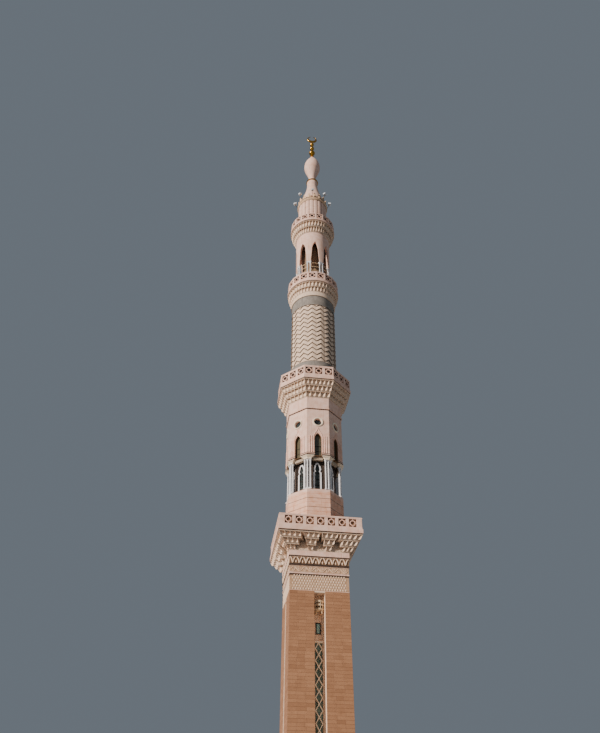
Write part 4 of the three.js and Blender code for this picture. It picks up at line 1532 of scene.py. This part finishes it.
def smooth_profile(points, steps=3):
    """A curve through the points, for outlines that swell and taper."""
    points = np.array(points, float)
    padded = np.vstack((2 * points[0] - points[1], points, 2 * points[-1] - points[-2]))
    line = []
    for a, b, c, d in zip(padded[:-3], padded[1:-2], padded[2:-1], padded[3:]):
        bend, twist = 2 * a - 5 * b + 4 * c - d, 3 * b - a - 3 * c + d
        for t in np.linspace(0, 1, steps, endpoint=False):
            line.append(tuple(0.5 * (2 * b + (c - a) * t + bend * t ** 2 + twist * t ** 3)))
    return [*line, tuple(points[-1])]


roof_low, roof_high = foot("bell_roof"), head("bell_roof")
BELL = [(184, roof_low + 1), (170, 8570), (154, 8640), (138, 8700), (122, 8750), (109, 8800), (98, 8850)]
BELL += [(87, 8900), (82, 8950), (80, 8990), (80, 9030), (82, roof_high)]
bell_wall = [(1, roof_low), (184, roof_low), *smooth_profile(BELL), (1, roof_high)]
make_piece("bell_roof_stone", turned(bell_wall), pink_stone, "pink_stone", "bell_roof")

ring_low, ring_high = foot("neck_ring"), head("neck_ring")
band = [(1, ring_low), (86, ring_low), (92, ring_low + 5), (93, ring_low + 12)]
band += [(92, ring_high - 5), (86, ring_high), (1, ring_high)]
make_piece("gilded_ring", turned(band), gilding, "gilding", "neck_ring")

bulb_low, bulb_high = foot("finial_bulb"), head("finial_bulb")
BULB = [(90, bulb_low + 1), (65, 9125), (52, 9160), (52, 9195), (59, 9235), (72, 9280), (89, 9330)]
BULB += [(105, 9380), (119, 9430), (124, 9480), (122, 9530), (114, 9580), (97, 9630), (76, 9675)]
BULB += [(55, 9715), (38, 9750), (24, 9775), (10, bulb_high)]
bulb_skin = [(1, bulb_low), *smooth_profile(BULB), (1, bulb_high)]
make_piece("stone_bulb", turned(bulb_skin), pink_stone, "pink_stone", "finial_bulb")


# %% [markdown]
# ## The finial
#
# A gilded staff carries three balls and the crescent. The crescent is a ring that thickens
# towards its foot: its section is an ellipse whose size follows the arc.

# %% Gild the finial
staff_low, staff_high = foot("finial_staff"), head("finial_staff")
BALLS = ((9907, 48), (10040, 36), (10151, 33))


def finial_outline():
    """The staff's outline from foot to tip, swelling at each ball."""
    line = [(1, staff_low), (28, staff_low), (27, staff_low + 8), (18, staff_low + 26), (13, staff_low + 44)]
    for z, radius in BALLS:
        start = math.acos(11 / radius)
        for angle in np.linspace(-start, start, 13):
            line.append((radius * math.cos(angle), z + radius * math.sin(angle)))
    return [*line, (10, staff_high - 6), (10, staff_high), (1, staff_high)]


make_piece("gilded_staff", turned(finial_outline(), 40), gilding, "gilding", "finial_staff")

MOON_OUTER, MOON_INNER, MOON_LIFT = 83.0, 58.0, 26.0
moon_z = foot("crescent") + 77


def crescent():
    """An open ring: outer and inner circles meet at the tips, and the section swells between."""
    tip_z = (MOON_OUTER ** 2 - MOON_INNER ** 2 + MOON_LIFT ** 2) / (2 * MOON_LIFT)
    outer_tip = math.acos(tip_z / MOON_OUTER)
    inner_tip = math.acos((tip_z - MOON_LIFT) / MOON_INNER)
    loops = []
    for t in np.linspace(0.02, 0.98, 48):
        a = outer_tip + (2 * math.pi - 2 * outer_tip) * t
        b = inner_tip + (2 * math.pi - 2 * inner_tip) * t
        outer = np.array([MOON_OUTER * math.sin(a), moon_z + MOON_OUTER * math.cos(a)])
        inner = np.array([MOON_INNER * math.sin(b), moon_z + MOON_LIFT + MOON_INNER * math.cos(b)])
        middle, reach = (outer + inner) / 2, (outer - inner) / 2
        reach = reach * max(1.0, 4.5 / np.linalg.norm(reach))
        thick = 5 + 9 * math.sin(math.pi * t)
        loops.append([
            (middle[0] + reach[0] * math.cos(u), thick * math.sin(u), middle[1] + reach[1] * math.cos(u))
            for u in np.linspace(0, 2 * math.pi, 12, endpoint=False)
        ])
    return loft(loops)


make_piece("gilded_crescent", crescent(), gilding, "gilding", "crescent")


# %% [markdown]
# ## Floodlights
#
# Eight small floodlights stand round the cornice on leaning stems and light the crown at night.
# Each head is a shallow box with a visor, tilted up.

# %% Set the floodlights
LAMP_RADIUS = 264.0
LAMP_TURN = math.radians(-7.5)
lamp_base = foot("crown_lamps")
lamp_z = 8560.0


def tilted(shape, angle, pivot):
    """A shape turned about an X line through the pivot."""
    points, faces = shape
    c, s = math.cos(angle), math.sin(angle)
    centre = np.array(pivot)
    return (points - centre) @ np.array([[1, 0, 0], [0, c, s], [0, -s, c]]) + centre, faces


def floodlight():
    pivot = (0, -LAMP_RADIUS, lamp_z)
    y = -LAMP_RADIUS
    housing = block((-19, y - 21, lamp_z - 10), (19, y + 21, lamp_z + 8), 4)
    rim = block((-20, y - 22, lamp_z + 7), (20, y + 22, lamp_z + 12), 1)
    cheeks = [block((x - 1.5, y - 6, lamp_z - 12), (x + 1.5, y + 6, lamp_z + 4)) for x in (-19.5, 19.5)]
    return tilted(merged([housing, rim, *cheeks]), 0.3, pivot)


def lamp_stem():
    run, rise = LAMP_RADIUS - CROWN - 16, lamp_z - lamp_base
    low = (-2.2, -LAMP_RADIUS - 2.2, lamp_z - math.hypot(run, rise) + 3)
    stem = block(low, (2.2, -LAMP_RADIUS + 2.2, lamp_z))
    return tilted(stem, math.atan2(run, rise), (0, -LAMP_RADIUS, lamp_z))


conduit = turned(wall_section(CROWN + 12, CROWN + 20, lamp_base, lamp_base + 8))
lamps, stems = around(floodlight(), 8, LAMP_TURN), around(lamp_stem(), 8, LAMP_TURN)
make_piece("crown_floodlights", lamps, lamp_paint, "lamp_metal", "crown_lamps", smooth=False)
make_piece("crown_lamp_stems", merged([conduit, stems]), bronze, "lamp_metal", smooth=False)


# %% [markdown]
# ## Light and floor
#
# A warm key light from the left, a little softer than the sun, models the faces as daylight does
# in the photograph: the left and front sides are bright, and the right side falls into shade.
# The world gives an even, cooler fill, and a plain floor lies under the tower.

# %% Light the stage
key = bpy.data.lights.new("key", "SUN")
key.energy = 5.4
key.angle = math.radians(4)
key.color = srgb("fff6ee")[:3]
key_light = bpy.data.objects.new("key", key)
KEY_FROM = Vector((-0.85, -0.52, 0.3))
key_light.rotation_euler = KEY_FROM.to_track_quat("Z", "Y").to_euler()
bpy.context.scene.collection.objects.link(key_light)

world = bpy.data.worlds.new("pale_studio")
bpy.context.scene.world = world
world.use_nodes = True
backdrop = world.node_tree.nodes["Background"]
backdrop.inputs["Color"].default_value = srgb("bfcddc")
backdrop.inputs["Strength"].default_value = 0.27

FLOOR_HALF = 9.0
floor_mesh = bpy.data.meshes.new("floor")
floor_mesh.from_pydata(
    [(x * FLOOR_HALF, y * FLOOR_HALF, 0) for x, y in ((-1, -1), (1, -1), (1, 1), (-1, 1))],
    [], [(0, 1, 2, 3)],
)
floor = bpy.data.objects.new("floor", floor_mesh)
bpy.context.scene.collection.objects.link(floor)
floor_paint, floor_tree, floor_shader, floor_place = start_material("pale_floor", Roughness=0.9)
floor_noise = add_node(floor_tree, "ShaderNodeTexNoise", {"Scale": 3.0}, {"Vector": floor_place})
floor_colour = mixed(floor_tree, floor_noise.outputs["Fac"], "c6c5c3", "bfbebc")
floor_tree.links.new(floor_colour, floor_shader.inputs["Base Color"])
floor_mesh.materials.append(floor_paint)


# %% [markdown]
# ## The end
#
# The dressed tower has to stay inside the frame's box. The cell prints how many pieces were made.


print("pieces made:", len(pieces))
